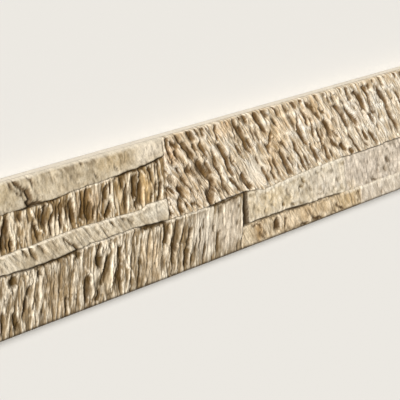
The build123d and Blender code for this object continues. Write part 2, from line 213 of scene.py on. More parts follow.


# One entry for each stone of the face. rise is its level over bedLevel, lean its slope per
# millimetre up the face, grain the sideways run of its grain per millimetre down the face, pitch
# and stretch the grain's spacing and length, rough its depth, grit that of its finer roughness, roll
# the rounding of its edges, fleck the strength of the flecks in its glaze, fine that of the finest
# ridges along its grain, and split that of its crevices and streaks. calm is two places along x,
# and the share of its relief that is gone past the second. crest and body are its screen colours on
# its ridges and between them, and the last its colour in its furrows: the crest colour is partly the
# stone's own pale glaze and partly painted highlight, the furrow colour partly its own brown and
# partly painted shade. A furrow or crest is its width, its depth or height, and then the x and y of
# its points.
stones = {
    "cap": {
        "rise": 3.35, "lean": -0.045, "grain": 0.5, "pitch": 4, "stretch": 4.5, "rough": 0.22, "grit": 0.18,
        "roll": 1.5, "fleck": 0.5, "fine": 0.1, "split": 0.1,
        "crest": (224, 211, 187), "body": (200, 184, 156), "soilAndShade": (94, 74, 48),
        "furrows": [
            (2.6, 1.3, 50.5, 79.5, 54, 76, 58.5, 72, 60.5, 68), (3.4, 1.8, 60.2, 73, 60.8, 68, 60, 65),
            (3.4, 2, 56.5, 67, 60, 65, 68.5, 64.8), (1.5, 0.7, 47.5, 79.5, 49.5, 75.5, 55, 71.5, 58, 68.5),
            (1.8, 0.8, 61, 80, 64, 77.8, 65, 73), (1.2, 0.5, 55, 75, 58, 69), (1, 0.4, 66, 71, 70, 66),
            (2.4, 0.8, 101.6, 79, 103, 77.8), (1.4, 0.6, 110, 72, 112.5, 69, 114.5, 66.8),
            (1.2, 0.5, 111, 79, 114, 76), (1.4, 0.6, 127.8, 71.5, 131, 68), (1.2, 0.4, 134.5, 75, 137, 73.5),
            (1, 0.3, 98, 68, 104, 66.8), (1, 0.35, 78, 79, 80, 74), (1.2, 0.3, 150, 73, 160, 70.5),
            (1.3, 0.4, 17, 78, 22, 72), (1.1, 0.4, 30, 76, 36, 71),
        ],
        "crests": [(2, 0.4, 67, 79, 76, 68), (2.2, 0.35, 110, 75, 118, 68), (2, 0.3, 88, 78, 96, 69)],
    },
    "rubble": {
        "rise": 2.2, "lean": 0, "grain": -0.14, "pitch": 2.6, "stretch": 16, "rough": 0.5, "grit": 0.1,
        "roll": 0.7, "fleck": 0.3, "fine": 0.6, "split": 0.7,
        "crest": (239, 227, 204), "body": (151, 128, 92), "soilAndShade": (82, 60, 24),
        "furrows": [
            (4, 1.7, 43.6, 62, 41, 57, 38.5, 52, 38, 46.5), (2.6, 1.6, 44.6, 51, 43.6, 44.6),
            (2, 1, 42, 54, 41, 46), (3, 0.7, 52.6, 62, 53.6, 57), (2.4, 0.5, 58.5, 60, 59, 55),
            (1.4, 0.7, 55, 50, 56.6, 46), (3, 1.1, 61.6, 55, 63.4, 51, 63.6, 46.6),
            (4.4, 1.7, 71.6, 62.6, 70, 57.5, 68.6, 51.6), (2.4, 1.2, 67, 61, 66.6, 55),
            (2.4, 1.5, 76, 58, 73.6, 51.6, 73.6, 45.6), (3, 1.3, 82.6, 62, 81.6, 54, 80.4, 48),
            (1.6, 0.9, 79.4, 60, 78.6, 52), (4.6, 1.5, 89.8, 62, 90.2, 55, 89.6, 48.6),
            (2, 0.9, 87, 59, 86.4, 51), (2.6, 0.9, 99, 63, 98.2, 54, 97.5, 47),
            (3, 1.5, 103.4, 64.4, 101.6, 58, 100.4, 50), (3, 1.4, 105, 57, 103, 51, 101.6, 47),
            (2.4, 1, 108.4, 55, 106, 47), (2.6, 1.2, 119, 63.6, 117, 57, 115.6, 54),
            (4, 1.7, 121, 54, 118.5, 49.6, 115, 45.6), (1.4, 0.8, 112.6, 55, 111, 48),
            (2, 1, 123, 64, 120.6, 57), (2.8, 1.2, 131.6, 65, 131, 58),
            (3, 1.1, 134.2, 60, 133.6, 53, 133, 47.6), (4.4, 1.6, 143.6, 64.6, 141.4, 58, 139.6, 51.4),
            (4.4, 1.7, 146, 60, 144.6, 53, 143.4, 46), (1.8, 1.3, 141.2, 50, 140.4, 45.4),
            (2.2, 1.3, 147.4, 66.4, 146, 61), (2.2, 1.1, 153.6, 66.4, 156.4, 62, 156, 57),
            (1.6, 0.9, 156, 52, 155.4, 47), (2, 1.3, 159.6, 57, 158.6, 51),
            (3, 1.6, 163.6, 56.6, 162, 51, 160, 46), (2.8, 1.2, 163, 69, 162.6, 64),
            (1.6, 0.9, 160.6, 67, 159.4, 59), (3.6, 1.3, 29, 62, 27, 52, 27, 46), (3, 1.2, 19, 62, 18, 52),
            (4, 1.4, 9, 61, 8, 48), (2, 0.9, 127, 65.6, 148, 66.6, 168, 69), (1.6, 0.8, 70, 63.4, 84, 63.6),
        ],
        "crests": [
            (2, 1, 45.6, 64.5, 45, 58, 46.4, 52, 47.4, 46), (1.8, 0.8, 46.6, 62, 50, 57, 56.6, 53.6),
            (1.4, 0.6, 49.6, 57, 50.4, 50, 53, 46), (2.2, 1.3, 61.6, 63.6, 64, 57, 66.4, 51.6, 69.6, 47.6),
            (1.2, 0.5, 58, 62, 57, 55, 58, 48), (1.4, 0.7, 70.6, 58, 72, 52, 71, 46),
            (2.2, 1.2, 77.6, 64, 77, 57, 75.6, 50, 77, 45),
            (2.6, 1.2, 83.6, 64.5, 84.2, 56, 85.2, 50, 89, 45.4), (4, 1.1, 94.4, 66, 94, 55, 94, 46),
            (1.4, 0.7, 109.6, 64, 108, 56, 109.4, 50, 108, 46), (1.4, 0.6, 96.6, 50, 99.4, 46),
            (2.2, 1, 113.4, 66, 112.6, 58, 113, 50, 115.4, 45),
            (4.4, 1.2, 125, 66.6, 124.6, 60, 123, 53, 126, 47), (1.2, 0.6, 116, 60, 114.4, 50),
            (2.6, 1.2, 140, 67.4, 138, 62, 136.2, 56, 136, 50, 138.6, 45.6),
            (1.2, 0.8, 139.6, 50, 142, 49.4, 142.4, 46), (1.8, 1.1, 149, 67.4, 152, 62, 155.2, 57),
            (1.8, 0.8, 148.6, 54, 149, 46), (1.6, 0.9, 161.6, 63, 160.4, 48),
            (2.4, 1, 165.8, 69.5, 166, 57, 165.6, 46), (2.6, 1.1, 33, 63.5, 32.6, 54, 31, 46),
            (2.4, 1, 23, 63, 22.6, 54, 24, 46), (2.6, 1, 13.4, 63, 13, 50),
            (1.8, 0.5, 95, 64.8, 110, 65.2, 127, 65.6),
        ],
    },
    "strip": {
        "rise": 3, "lean": 0, "grain": 0.85, "pitch": 2.4, "stretch": 12, "rough": 0.32, "grit": 0.16,
        "roll": 1, "fleck": 0.5, "fine": 0.3, "split": 0.3,
        "crest": (234, 223, 202), "body": (203, 189, 164), "soilAndShade": (108, 88, 58),
        "furrows": [
            (2.2, 1.1, 51.6, 42.6, 55.8, 37.8), (2.8, 1.5, 56.6, 43.8, 59, 39.6, 62, 36.4),
            (2, 0.9, 63.4, 43, 68.6, 38.2), (1.6, 0.6, 67, 41.2, 69.2, 38),
            (1.7, 1.5, 82.6, 42, 87, 38.2, 93, 34), (1, 0.4, 45, 43, 50, 37), (1, 0.4, 74, 43, 80, 36),
            (1.1, 0.4, 99, 44, 106, 36), (1, 0.4, 106, 43.6, 112, 37), (1.2, 0.5, 112, 42, 118.4, 35),
            (2.2, 1.2, 119.6, 43.6, 122.4, 39.6), (1.8, 0.8, 128, 43.4, 132, 41),
            (1.4, 0.6, 134, 41.4, 138.6, 38), (1, 0.3, 142, 42, 148, 36.5), (1.4, 0.4, 158.6, 43.2, 162, 41),
            (1.2, 0.5, 36, 42.6, 41, 37), (1.3, 0.5, 22, 42, 28, 35.5), (1.2, 0.5, 8, 41.6, 14, 35.5),
        ],
        "crests": [
            (1.6, 0.3, 48, 43, 55, 35.5), (1.8, 0.3, 92, 43.5, 100, 36), (2.2, 0.35, 150, 43, 160, 37),
            (2, 0.4, 30, 42.2, 60, 43, 90, 44), (2.2, 0.4, 94, 44.2, 120, 43.4, 145, 42.8),
            (2.2, 0.4, 148, 44.4, 167, 44.4),
        ],
    },
    "reeds": {
        "rise": 2.1, "lean": 0.015, "grain": -0.22, "pitch": 2.2, "stretch": 18, "rough": 0.48, "grit": 0.09,
        "roll": 0.7, "fleck": 0.34, "fine": 0.6, "split": 0.8, "calm": (180, 194, 0.6),
        "crest": (233, 222, 202), "body": (149, 130, 101), "soilAndShade": (80, 60, 25),
        "furrows": [
            (6.6, 2, 42.2, 31.5, 42.4, 26), (1.8, 0.9, 55, 24, 51.6, 19.6),
            (2.2, 1.1, 50.6, 18.8, 48.6, 13, 46.4, 8), (3.4, 1.1, 41.4, 13, 41, 8, 43.6, 4),
            (3, 1, 33, 16, 31, 4), (4, 1.8, 61.4, 30.4, 61.6, 26.6), (1.6, 0.8, 55.6, 15.4, 54.8, 11),
            (1.4, 0.6, 61, 9.6, 61.8, 7), (2.6, 1.2, 80, 10.6, 78.4, 2.6),
            (1.8, 0.5, 73, 22, 70.4, 12, 70, 5), (1.6, 0.4, 78, 24, 75.4, 14), (1.5, 0.4, 68, 28, 67, 16),
            (1.6, 0.4, 87, 24, 84.8, 14), (4.2, 1.6, 92.4, 32, 91.2, 28.8),
            (4.6, 1.6, 98, 18.6, 95.2, 12, 94, 4.6), (1.4, 0.5, 90, 24, 88, 15),
            (7, 1.9, 107.4, 27, 106.4, 21), (2.2, 1.1, 110.2, 32.6, 106, 27),
            (4.2, 1.8, 115, 25, 112.6, 19, 108, 13, 105.6, 10), (3.4, 1.6, 105.4, 8.6, 102.6, 2.4),
            (1.4, 0.8, 112.4, 31, 111.4, 27), (4, 1.8, 124.6, 28.6, 124, 21.8),
            (4, 1.1, 124, 20.6, 122, 12, 122, 3.6), (1.6, 0.8, 120.6, 17, 119.6, 8),
            (2, 0.9, 132.4, 9.6, 131, 5), (2, 0.9, 133.8, 22, 132.6, 15.6),
            (2.4, 1.2, 140.6, 18, 139, 9.6, 137, 2.4), (1.6, 0.7, 137.4, 26, 136, 16),
            (4.8, 1.7, 165.6, 32, 163.4, 26, 160.4, 20), (3.4, 1.6, 169, 22.6, 168, 14, 167, 7.4),
            (3.4, 1.6, 175.6, 31.6, 172.8, 25, 171, 18, 170, 14), (1.8, 1, 180, 24.4, 176, 16.6),
            (2.8, 1.5, 186.4, 25.6, 183.8, 19.6, 181.4, 14.6), (4.8, 1.9, 180.6, 14, 178.6, 8.4, 177.4, 3.6),
            (2.6, 1.2, 185.4, 8.6, 183.4, 3.6), (1.8, 0.8, 191, 19, 188.6, 9),
            (2.8, 1, 198.4, 14, 196, 7, 194.4, 2), (2.2, 0.7, 204.4, 5.4, 202.8, 2),
            (1.6, 0.5, 201.8, 30, 201, 27), (1.8, 0.8, 196.4, 25.4, 194, 17, 191.6, 9),
            (2, 0.7, 198.4, 27, 197.6, 20), (2.6, 0.9, 210.4, 17, 209, 9.6, 208, 4),
            (3.4, 0.7, 215, 31.6, 213.4, 26.6), (2, 0.6, 217.4, 24.6, 216.8, 20),
            (1.8, 0.6, 217.2, 12, 216.4, 9.6), (2, 0.7, 207.2, 21.4, 206.6, 17),
            (1.8, 0.7, 232.6, 28.4, 232, 26), (2.6, 0.6, 229.8, 20, 229.2, 16),
            (2.4, 0.6, 228.6, 5.4, 227.8, 2), (1.8, 0.5, 212.8, 17, 212, 14.6), (1.6, 0.4, 201, 12, 199, 4),
            (1.4, 0.4, 226.4, 25, 225, 18), (2.6, 1.2, 235, 14, 233.6, 8, 232, 2),
            (1.5, 0.5, 150, 30, 147, 16, 145, 5), (1.3, 0.4, 155, 29, 151.6, 14), (1.6, 0.6, 160, 14, 158, 4),
            (2.6, 1, 22, 28, 20, 15), (3.2, 1.2, 12, 30, 9, 18), (2.2, 1, 26, 14, 24, 3),
            (2.2, 1, 6, 14, 4, 4), (2.6, 1, 16, 12, 14, 3), (2, 0.8, 60, 31.8, 78, 32, 95, 33),
            (2.2, 0.9, 143, 33.2, 158, 32.4, 168, 32), (1.8, 0.8, 206, 32, 222, 32.6, 236, 33.2),
        ],
        "crests": [
            (2.2, 1.1, 37.6, 33, 40, 25, 43.2, 19.6), (2.2, 0.9, 38.6, 12.6, 37, 6, 36, 1.6),
            (2.8, 1.1, 52, 32.4, 54.4, 28, 60, 24), (4.2, 0.9, 64.4, 30, 62, 19, 61, 9),
            (2, 0.7, 45.6, 19.6, 44.4, 9), (2.6, 0.9, 57.6, 21, 55.4, 12, 56, 2.6),
            (2.4, 0.9, 81.8, 9.6, 82, 1.8), (4.4, 1.4, 98.4, 22.4, 101.8, 16.6, 102, 10, 100, 2.4),
            (1.2, 0.8, 113, 28.4, 115.4, 30.8, 117.2, 27.4, 116, 25),
            (3, 1.2, 121, 33.4, 121, 27, 119.6, 22, 117, 13, 116, 4.6), (3.4, 0.6, 120, 32, 122.6, 25),
            (2.4, 1.3, 126, 29.6, 129, 22, 130.6, 15, 134, 12, 136.2, 5.4),
            (1.4, 0.7, 133.4, 9.6, 130.2, 2.6), (2.4, 1, 143.4, 31.6, 141, 21, 142, 12, 139, 2.6),
            (1.6, 0.5, 149, 31.6, 146.8, 21), (2.4, 1, 171, 31.4, 166.4, 18, 163, 5),
            (2.6, 1.2, 178.8, 25.6, 173, 13, 171, 2.4), (2.2, 0.8, 182, 31, 177.6, 20),
            (2.4, 1, 189, 29, 186.4, 18, 182.4, 4.4), (1.8, 0.6, 193, 31, 190.6, 16),
            (2, 0.7, 194.4, 20, 192.4, 10, 190.6, 4), (2.4, 0.5, 204, 32, 203, 20),
            (2.2, 0.5, 206, 11, 205, 3), (2.8, 0.7, 219, 31, 218, 18),
            (2.2, 0.6, 236, 32, 234.4, 18, 232.8, 3), (2.6, 0.9, 30, 32, 27, 18),
            (2.4, 0.9, 17, 31, 14, 16, 13, 4), (2, 0.5, 168, 32, 186, 32, 204, 32.2),
            (1.4, 0.4, 98, 33.2, 120, 33.8, 142, 33.6),
        ],
    },
    "slant": {
        "rise": 2.7, "lean": 0.008, "grain": 0.72, "pitch": 2.6, "stretch": 13, "rough": 0.6, "grit": 0.1,
        "roll": 0.6, "fleck": 0.26, "fine": 1, "split": 1,
        "crest": (250, 243, 229), "body": (233, 218, 193), "soilAndShade": (100, 75, 37),
        "furrows": [
            (3, 1.4, 171.6, 80.5, 171.2, 76, 172, 71, 173.4, 67.6),
            (3.2, 1.4, 174, 76.6, 176.4, 74, 180, 71.4), (3.6, 1.4, 176.6, 70, 178.4, 67.6, 180.4, 65.6),
            (3.2, 1.6, 178.4, 81, 181, 77.6, 183.6, 74),
            (5.6, 2, 183, 74.6, 187, 70.6, 190.4, 66.6, 193, 62.6),
            (3.6, 1.6, 190, 80.6, 193, 76.4, 195.4, 73), (3, 1.4, 194.4, 71.4, 197.4, 67),
            (2.2, 1.1, 196, 81, 199, 77, 201, 74), (2.6, 1.3, 201.8, 81, 204, 77.4, 205.4, 74),
            (2.4, 1.3, 200.6, 72, 202.4, 68, 205, 63.6, 206.4, 61), (3.2, 1.5, 174.6, 65.4, 176.6, 62.6),
            (2.4, 1.2, 177.4, 60.4, 181, 56.4), (4.8, 1.8, 185.4, 59.4, 189.4, 56.2),
            (2.6, 1.3, 181, 54.6, 184.4, 51, 187, 48), (2.2, 1.1, 190.6, 58.6, 194, 54, 196.6, 51.6),
            (6.2, 2.1, 195.4, 61.4, 199, 57, 203, 52.6, 206.6, 49), (4, 1.7, 177, 49.6, 180, 47, 183, 42.6),
            (2.8, 1.4, 168, 51.4, 171.4, 49, 174.4, 46), (2.4, 1.2, 167, 50, 168.4, 44),
            (2.8, 1.3, 167, 40.6, 169.6, 37, 172.4, 35), (4.4, 1.8, 178.8, 43.4, 178, 38.6, 179.4, 33.6),
            (2, 1.1, 183.4, 40, 186.6, 35.8), (2.4, 1, 188.6, 38.4, 192.6, 35.8),
            (1.8, 0.9, 194.4, 37.4, 197.4, 34.6), (5.8, 2.1, 207.2, 49.6, 208.2, 45, 206.4, 39, 206, 33.4),
            (3.6, 1.6, 203.8, 43, 203.8, 36), (2.2, 1.3, 203.6, 59.6, 207.6, 54, 209.6, 50),
            (2.2, 1.1, 167.2, 62.6, 169, 59.4), (1.6, 0.8, 170, 57, 174, 52),
            (1.6, 0.9, 187, 49.6, 191.4, 44.8), (1.6, 0.9, 195.6, 50.6, 200.6, 45.6),
            (1.5, 0.8, 189, 46, 193, 42), (1.6, 0.9, 206.6, 79, 210, 75.6, 212.6, 72.6),
            (2.6, 1.4, 215.4, 79, 216.6, 72, 216.6, 68.6),
            (3.8, 1.8, 215.6, 67, 221, 62.4, 223.4, 57, 225, 51.4, 229.2, 45.6),
            (3.2, 1.5, 210.4, 64.6, 213, 60, 214, 54, 217, 49, 218.6, 43, 221, 39.4, 225.6, 34.4),
            (1.8, 0.8, 208.6, 47.4, 212, 43.4, 217.4, 37.6), (2.8, 1.3, 227.4, 58.6, 229, 54, 231.4, 51),
            (1.8, 0.8, 231.6, 50.6, 235, 45, 238.4, 38.6),
            (3.2, 1.3, 225.8, 44.6, 229, 41.4, 232, 38, 234.8, 34.8),
            (4.2, 1.8, 236.2, 46, 239.6, 41.4, 243, 37.4, 246.6, 35.2),
            (4, 1.8, 233, 80, 234, 75, 238, 71, 242, 65, 243.2, 60.4, 248, 56),
            (1.8, 0.8, 231.4, 74.6, 234.4, 66), (2.8, 1.2, 233.4, 64, 235.6, 60.6, 238, 57.4),
            (3.2, 1.5, 242.4, 81, 243.6, 77.4, 245.8, 74), (1.6, 0.8, 237.6, 80.4, 240.6, 76),
            (2.8, 1.3, 244.8, 64.6, 247, 61.4, 249, 58.8), (1.8, 0.9, 248.4, 71.4, 251, 67, 253.6, 62),
            (1.8, 0.8, 253, 69, 256, 64, 257.6, 60),
            (4, 1.8, 253.4, 80.6, 254.6, 76, 258, 71.4, 261, 68, 263.6, 65.4),
            (1.8, 1, 252.8, 53, 254, 50, 256, 47.6), (2.8, 1.3, 257.8, 45.6, 260, 41.4, 264.4, 35.6),
            (1.6, 0.7, 258.6, 50.6, 263, 46), (3.2, 1.4, 259.4, 81, 263, 77.6, 266.4, 74),
            (3.2, 1.7, 265.4, 59, 264.6, 55.6, 264.8, 52.6), (2.8, 1.5, 269.4, 64.6, 265.6, 59.6),
            (2, 0.9, 262, 59, 264, 56), (3.4, 1.6, 270, 81, 274, 77.6, 277.8, 73),
            (2, 0.9, 270.4, 73.6, 273, 69.6, 277, 66), (1.8, 0.8, 264, 49.6, 267, 45, 268.6, 41),
            (2.2, 1, 266, 41.4, 270.4, 35.8), (2.4, 1.1, 268, 48.6, 272, 43, 276, 35.8),
            (1.6, 0.6, 269, 54, 276, 50.6),
            (4.8, 1.9, 275.8, 52.6, 279, 47.6, 281, 42.4, 284, 38, 286.6, 35.2),
            (2.2, 1, 275.6, 58, 280, 55.4, 283, 52, 285.4, 49), (2.6, 1.3, 282, 80, 284, 76.6, 286.4, 73.4),
            (1.8, 0.7, 286.4, 73, 290, 69, 294, 63), (2, 0.9, 283, 46.6, 290.6, 38.6),
            (3.2, 1.5, 290.4, 81, 293, 77.6, 296, 74),
            (3.8, 1.8, 296, 69, 296.6, 64, 297, 60.4, 300, 56.4, 303, 52, 306, 49.6),
            (3.6, 1.7, 291, 54.6, 292.2, 50, 295, 47, 297.4, 43, 299, 39, 302.4, 35.2),
            (2.6, 1.3, 300.2, 81, 301.4, 76.6), (2.8, 1.3, 300.4, 73.6, 303, 70, 305, 66, 305.8, 61.4),
            (2.2, 1.1, 301, 45.6, 304, 41, 307, 36), (1.8, 0.8, 294, 41, 296, 37),
            (3.4, 1.5, 304.8, 76.8, 309, 74, 312, 72, 314.4, 69, 318, 66, 320.6, 63),
            (2.8, 1.3, 309.4, 66.6, 310.6, 63, 311.6, 58, 313.4, 53.4),
            (4.2, 1.7, 308, 49.6, 310.6, 46, 313, 42.4, 316.6, 37.4), (2, 0.9, 311.6, 77, 315, 71.4),
            (2.4, 1.2, 315.2, 81, 318, 77.6, 321.6, 73.6), (3, 1.4, 315.8, 59, 319, 54, 321, 48, 322.4, 42.4),
            (1.8, 0.9, 320.8, 57.6, 323.4, 52), (2.8, 1.3, 320.2, 71, 322.6, 68, 325.6, 65.4),
            (5, 1.9, 323, 63, 326, 59.6, 328.4, 56.4, 329, 53, 330.8, 49.6),
            (3, 1.4, 330.4, 49.8, 333, 46, 337, 44, 340.6, 40.6),
            (3.2, 1.4, 324, 47.6, 325.6, 42, 328.4, 35.4), (1.8, 0.8, 329, 43.6, 333, 36),
            (2.4, 1.1, 332.8, 54, 336, 52, 339.6, 49), (2.2, 1.1, 325, 80.6, 327.4, 76.6),
            (1.8, 0.8, 330, 76.6, 332.4, 72), (2.8, 1.1, 334.2, 75.6, 338, 71.6),
            (4.2, 1.8, 335, 69.4, 339, 68, 342, 65, 345.6, 61, 349, 55.4, 352, 52.6),
            (4.6, 1.9, 340.6, 44, 344, 41.6, 347.6, 38.6), (1.8, 0.9, 342.4, 81, 345, 77),
            (1.8, 0.8, 345.6, 70.4, 349.6, 67), (1.8, 0.7, 333, 62, 341, 54),
            (4, 1.8, 347.6, 66.6, 352, 62.6, 356, 59, 359.4, 54.6, 361, 52),
            (2, 1, 361, 52, 364, 46, 368, 41, 373.6, 36),
            (3.6, 1.7, 350, 79.6, 351.6, 75, 353.6, 71, 356.4, 69.6),
            (3, 1.4, 350.6, 50, 354, 45, 357, 41, 360, 38.4, 363.4, 34.8),
            (2.4, 1.2, 351.6, 39.6, 355.6, 35.2),
            (4.2, 1.8, 357.6, 74.6, 363, 72.4, 367, 68, 369, 63, 372.4, 59.6),
            (2, 1, 372.4, 59.6, 376, 56, 380, 52), (1.6, 0.7, 361, 67.6, 366, 63),
            (1.6, 0.7, 355.6, 67.6, 360.6, 62.4), (2.4, 1.1, 366, 48.4, 370, 45, 373.4, 40.4),
            (3.8, 1.8, 368.6, 76.8, 373, 74, 376, 69, 377.6, 63, 380, 59, 383.6, 56),
            (2.4, 1.2, 375.8, 57.6, 379, 55, 381.4, 50),
            (3.8, 1.8, 373.6, 46.4, 378, 43, 381, 40, 384.6, 36.4), (2, 1, 376.6, 76.4, 379.4, 73.6),
            (2.2, 1.1, 380.8, 80.6, 383.2, 76.6), (1.8, 0.9, 384, 75.6, 384.6, 70.6),
            (4.4, 1.9, 385.6, 75, 388, 70.4, 392, 66.4, 396, 62, 398, 57, 401, 52, 405, 48, 407, 44, 408.2,
             39.4), (2.8, 1.4, 389.2, 80.6, 391.6, 77, 394.2, 72), (2.2, 1, 384.8, 50.6, 387.4, 44.6),
            (1.8, 0.9, 387.6, 55.6, 390.4, 50.6), (1.8, 0.8, 395, 80, 398, 77),
            (2.4, 1.2, 406.8, 81, 410.6, 75.4), (1.6, 0.6, 401, 65, 406.6, 59), (1.6, 0.7, 398, 50, 404, 40),
            (2.6, 1.2, 410, 66, 415, 58, 418, 50), (3.8, 1.6, 415, 80, 420, 72, 424, 64, 426, 56),
            (3, 1.4, 414, 47, 419, 40, 421, 36), (3.6, 1.6, 425, 79, 430, 72, 434, 64, 437, 56, 439, 48),
            (2.4, 1.1, 428, 52, 432, 44, 435, 37), (2.6, 1.2, 436, 79, 440, 72),
        ],
        "crests": [
            (6, 0.5, 219, 56, 224, 44, 232, 36), (9, 0.5, 240, 54, 250, 46, 262, 36),
            (2.8, 0.6, 176.4, 66, 180, 62, 184.4, 56.6), (2.2, 0.6, 189.6, 55, 194, 50.4, 199, 46),
            (1.8, 0.5, 180.6, 76.6, 186, 69.4, 190, 64, 194.4, 59.6), (2.6, 0.6, 169.4, 41, 174.6, 36),
            (2.2, 0.5, 203.6, 61.6, 208, 56, 211.6, 52), (2, 0.5, 188, 44, 194, 39, 198, 35.4),
            (4, 0.5, 286, 60, 296, 45), (5, 0.6, 380, 68, 388, 58, 396, 46),
            (4, 0.5, 350, 68, 366, 54, 380, 42), (3.4, 0.5, 298, 68, 308, 52), (6, 0.4, 222, 78, 232, 62),
            (3.4, 0.5, 330, 62, 342, 48, 350, 40),
        ],
    },
    "pale": {
        "rise": 2.3, "lean": 0.012, "grain": 0.4, "pitch": 5, "stretch": 4.5, "rough": 0.38, "grit": 0.18,
        "roll": 1, "fleck": 0.62, "fine": 0.06, "split": 0.1,
        "crest": (230, 219, 199), "body": (213, 199, 174), "soilAndShade": (112, 92, 60),
        "furrows": [
            (2, 0.6, 281.4, 28.6, 282, 24, 285.6, 20), (3, 1.3, 296.4, 29.8, 299.4, 27.4),
            (2.2, 1, 293, 25.6, 297.6, 24.6), (3, 1.1, 275.4, 19.8, 276.4, 17.8),
            (2.2, 0.8, 283.4, 18, 287.6, 15.6), (2.2, 0.6, 333.6, 23.4, 336.4, 19.6),
            (2, 0.5, 263, 22, 267, 20), (2.2, 0.6, 304.8, 24.6, 307, 20), (2.4, 0.6, 317.6, 33, 319.6, 31.6),
            (2.4, 0.6, 312.6, 31, 315.4, 29.6), (2.4, 0.5, 318, 27.6, 321, 26.6),
            (2, 0.5, 258.4, 29.4, 261.6, 28), (2.2, 0.5, 257, 20, 258, 17), (2, 0.4, 309, 22, 310, 20),
            (2, 0.5, 313, 18, 318, 16),
        ],
        "crests": [
            (3, 0.3, 246, 28, 256, 18), (3, 0.3, 288, 30, 300, 20), (3.4, 0.4, 339, 30, 343, 18),
            (4.4, 0.4, 252, 32.6, 262, 31.4, 276, 32, 292, 32.8, 312, 33.6, 344, 33.8),
        ],
    },
    "grey": {
        "rise": 2.2, "lean": 0.012, "grain": 0.3, "pitch": 5, "stretch": 6, "rough": 0.34, "grit": 0.18,
        "roll": 1, "fleck": 0.58, "fine": 0.1, "split": 0.1,
        "crest": (228, 216, 200), "body": (208, 195, 177), "soilAndShade": (104, 88, 68),
        "furrows": [
            (3.6, 1, 392.6, 25.6, 395, 21.6), (2.6, 0.8, 396, 23, 399, 21.6),
            (2.4, 0.7, 390, 19.6, 392.6, 15.6), (2.6, 0.6, 394.4, 31, 397, 28),
            (2.4, 0.8, 374, 14.6, 380.8, 13), (2.2, 0.6, 381.4, 20, 383, 18), (1.8, 0.4, 346, 33, 350, 30),
            (2, 0.5, 405, 29, 409, 27.4), (2.2, 0.4, 365, 18, 367, 15.6), (1.6, 0.5, 420, 26, 423, 20),
        ],
        "crests": [(3, 0.3, 352, 28, 362, 18), (3, 0.3, 396, 30, 402, 16), (3, 0.3, 426, 30, 436, 18)],
    },
    "gold": {
        "rise": 1.65, "lean": 0.015, "grain": 0.5, "pitch": 3.6, "stretch": 8, "rough": 0.3, "grit": 0.11,
        "roll": 0.9, "fleck": 0.35, "fine": 0.45, "split": 0.3,
        "crest": (236, 220, 193), "body": (206, 186, 154), "soilAndShade": (76, 53, 20),
        "furrows": [
            (7.2, 1.9, 267, 11.6, 267.6, 5), (2.2, 0.9, 277.6, 10, 276, 4), (1.6, 0.7, 251.6, 13, 252, 9),
            (1.8, 0.7, 250, 8, 253.6, 3.6, 256, 1.6), (1.6, 0.6, 298, 11, 302, 5),
            (1.6, 0.6, 302, 9.6, 306, 5, 310, 3), (2.8, 0.9, 306, 3.6, 316, 1.4),
            (2.2, 0.8, 292, 2.6, 301, 1.8), (2.2, 0.8, 330.6, 7.6, 335, 4.6, 341, 1.4),
            (1.8, 0.6, 327, 3.6, 332, 1.6), (1.8, 0.7, 357.4, 11, 359, 8), (1.4, 0.5, 357, 4.6, 359, 3.6),
            (1.5, 0.5, 350, 9, 351, 2), (1.4, 0.4, 309, 9, 311, 6), (1.4, 0.4, 244, 3, 250, 1.8),
            (1.2, 0.5, 238, 13.6, 262, 13.8, 284, 13.2, 304, 12.4, 338, 12.1),
            (2, 0.7, 242, 12.4, 250, 12, 254, 9), (1.6, 0.5, 254, 8, 258, 3), (1.6, 0.4, 276, 2.4, 292, 2.2),
        ],
        "crests": [
            (2.4, 0.6, 271, 12, 273, 4), (1.8, 0.4, 296, 11, 305, 3), (2, 0.4, 330, 10, 340, 4),
            (2.4, 0.4, 282, 11, 288, 4),
        ],
    },
    "dusk": {
        "rise": 2.4, "lean": 0.012, "grain": 0.4, "pitch": 4.6, "stretch": 8, "rough": 0.24, "grit": 0.11,
        "roll": 1.1, "fleck": 0.28, "fine": 0.25, "split": 0.1,
        "crest": (236, 225, 209), "body": (212, 200, 182), "soilAndShade": (130, 112, 90),
        "furrows": [
            (1.8, 0.6, 380, 10.6, 381.6, 8.6), (2, 0.7, 384.8, 5, 386, 1.6), (1.6, 0.4, 391, 10.6, 393, 9.6),
            (1.6, 0.5, 424, 9, 427, 4),
        ],
        "crests": [
            (2, 0.3, 366, 10, 372, 3), (2, 0.3, 400, 10, 408, 3), (2.6, 0.4, 362, 11, 400, 10.9, 441, 10.8),
        ],
    },
}
stoneNames = list(stones)

# Smooth hollow broken out of a stone, and how much of the relief and the fine ridges it takes away
scoop = {"stone": "slant", "place": (252, 45), "radius": 11, "depth": 0.9, "calm": 0.75, "plain": 0.8}

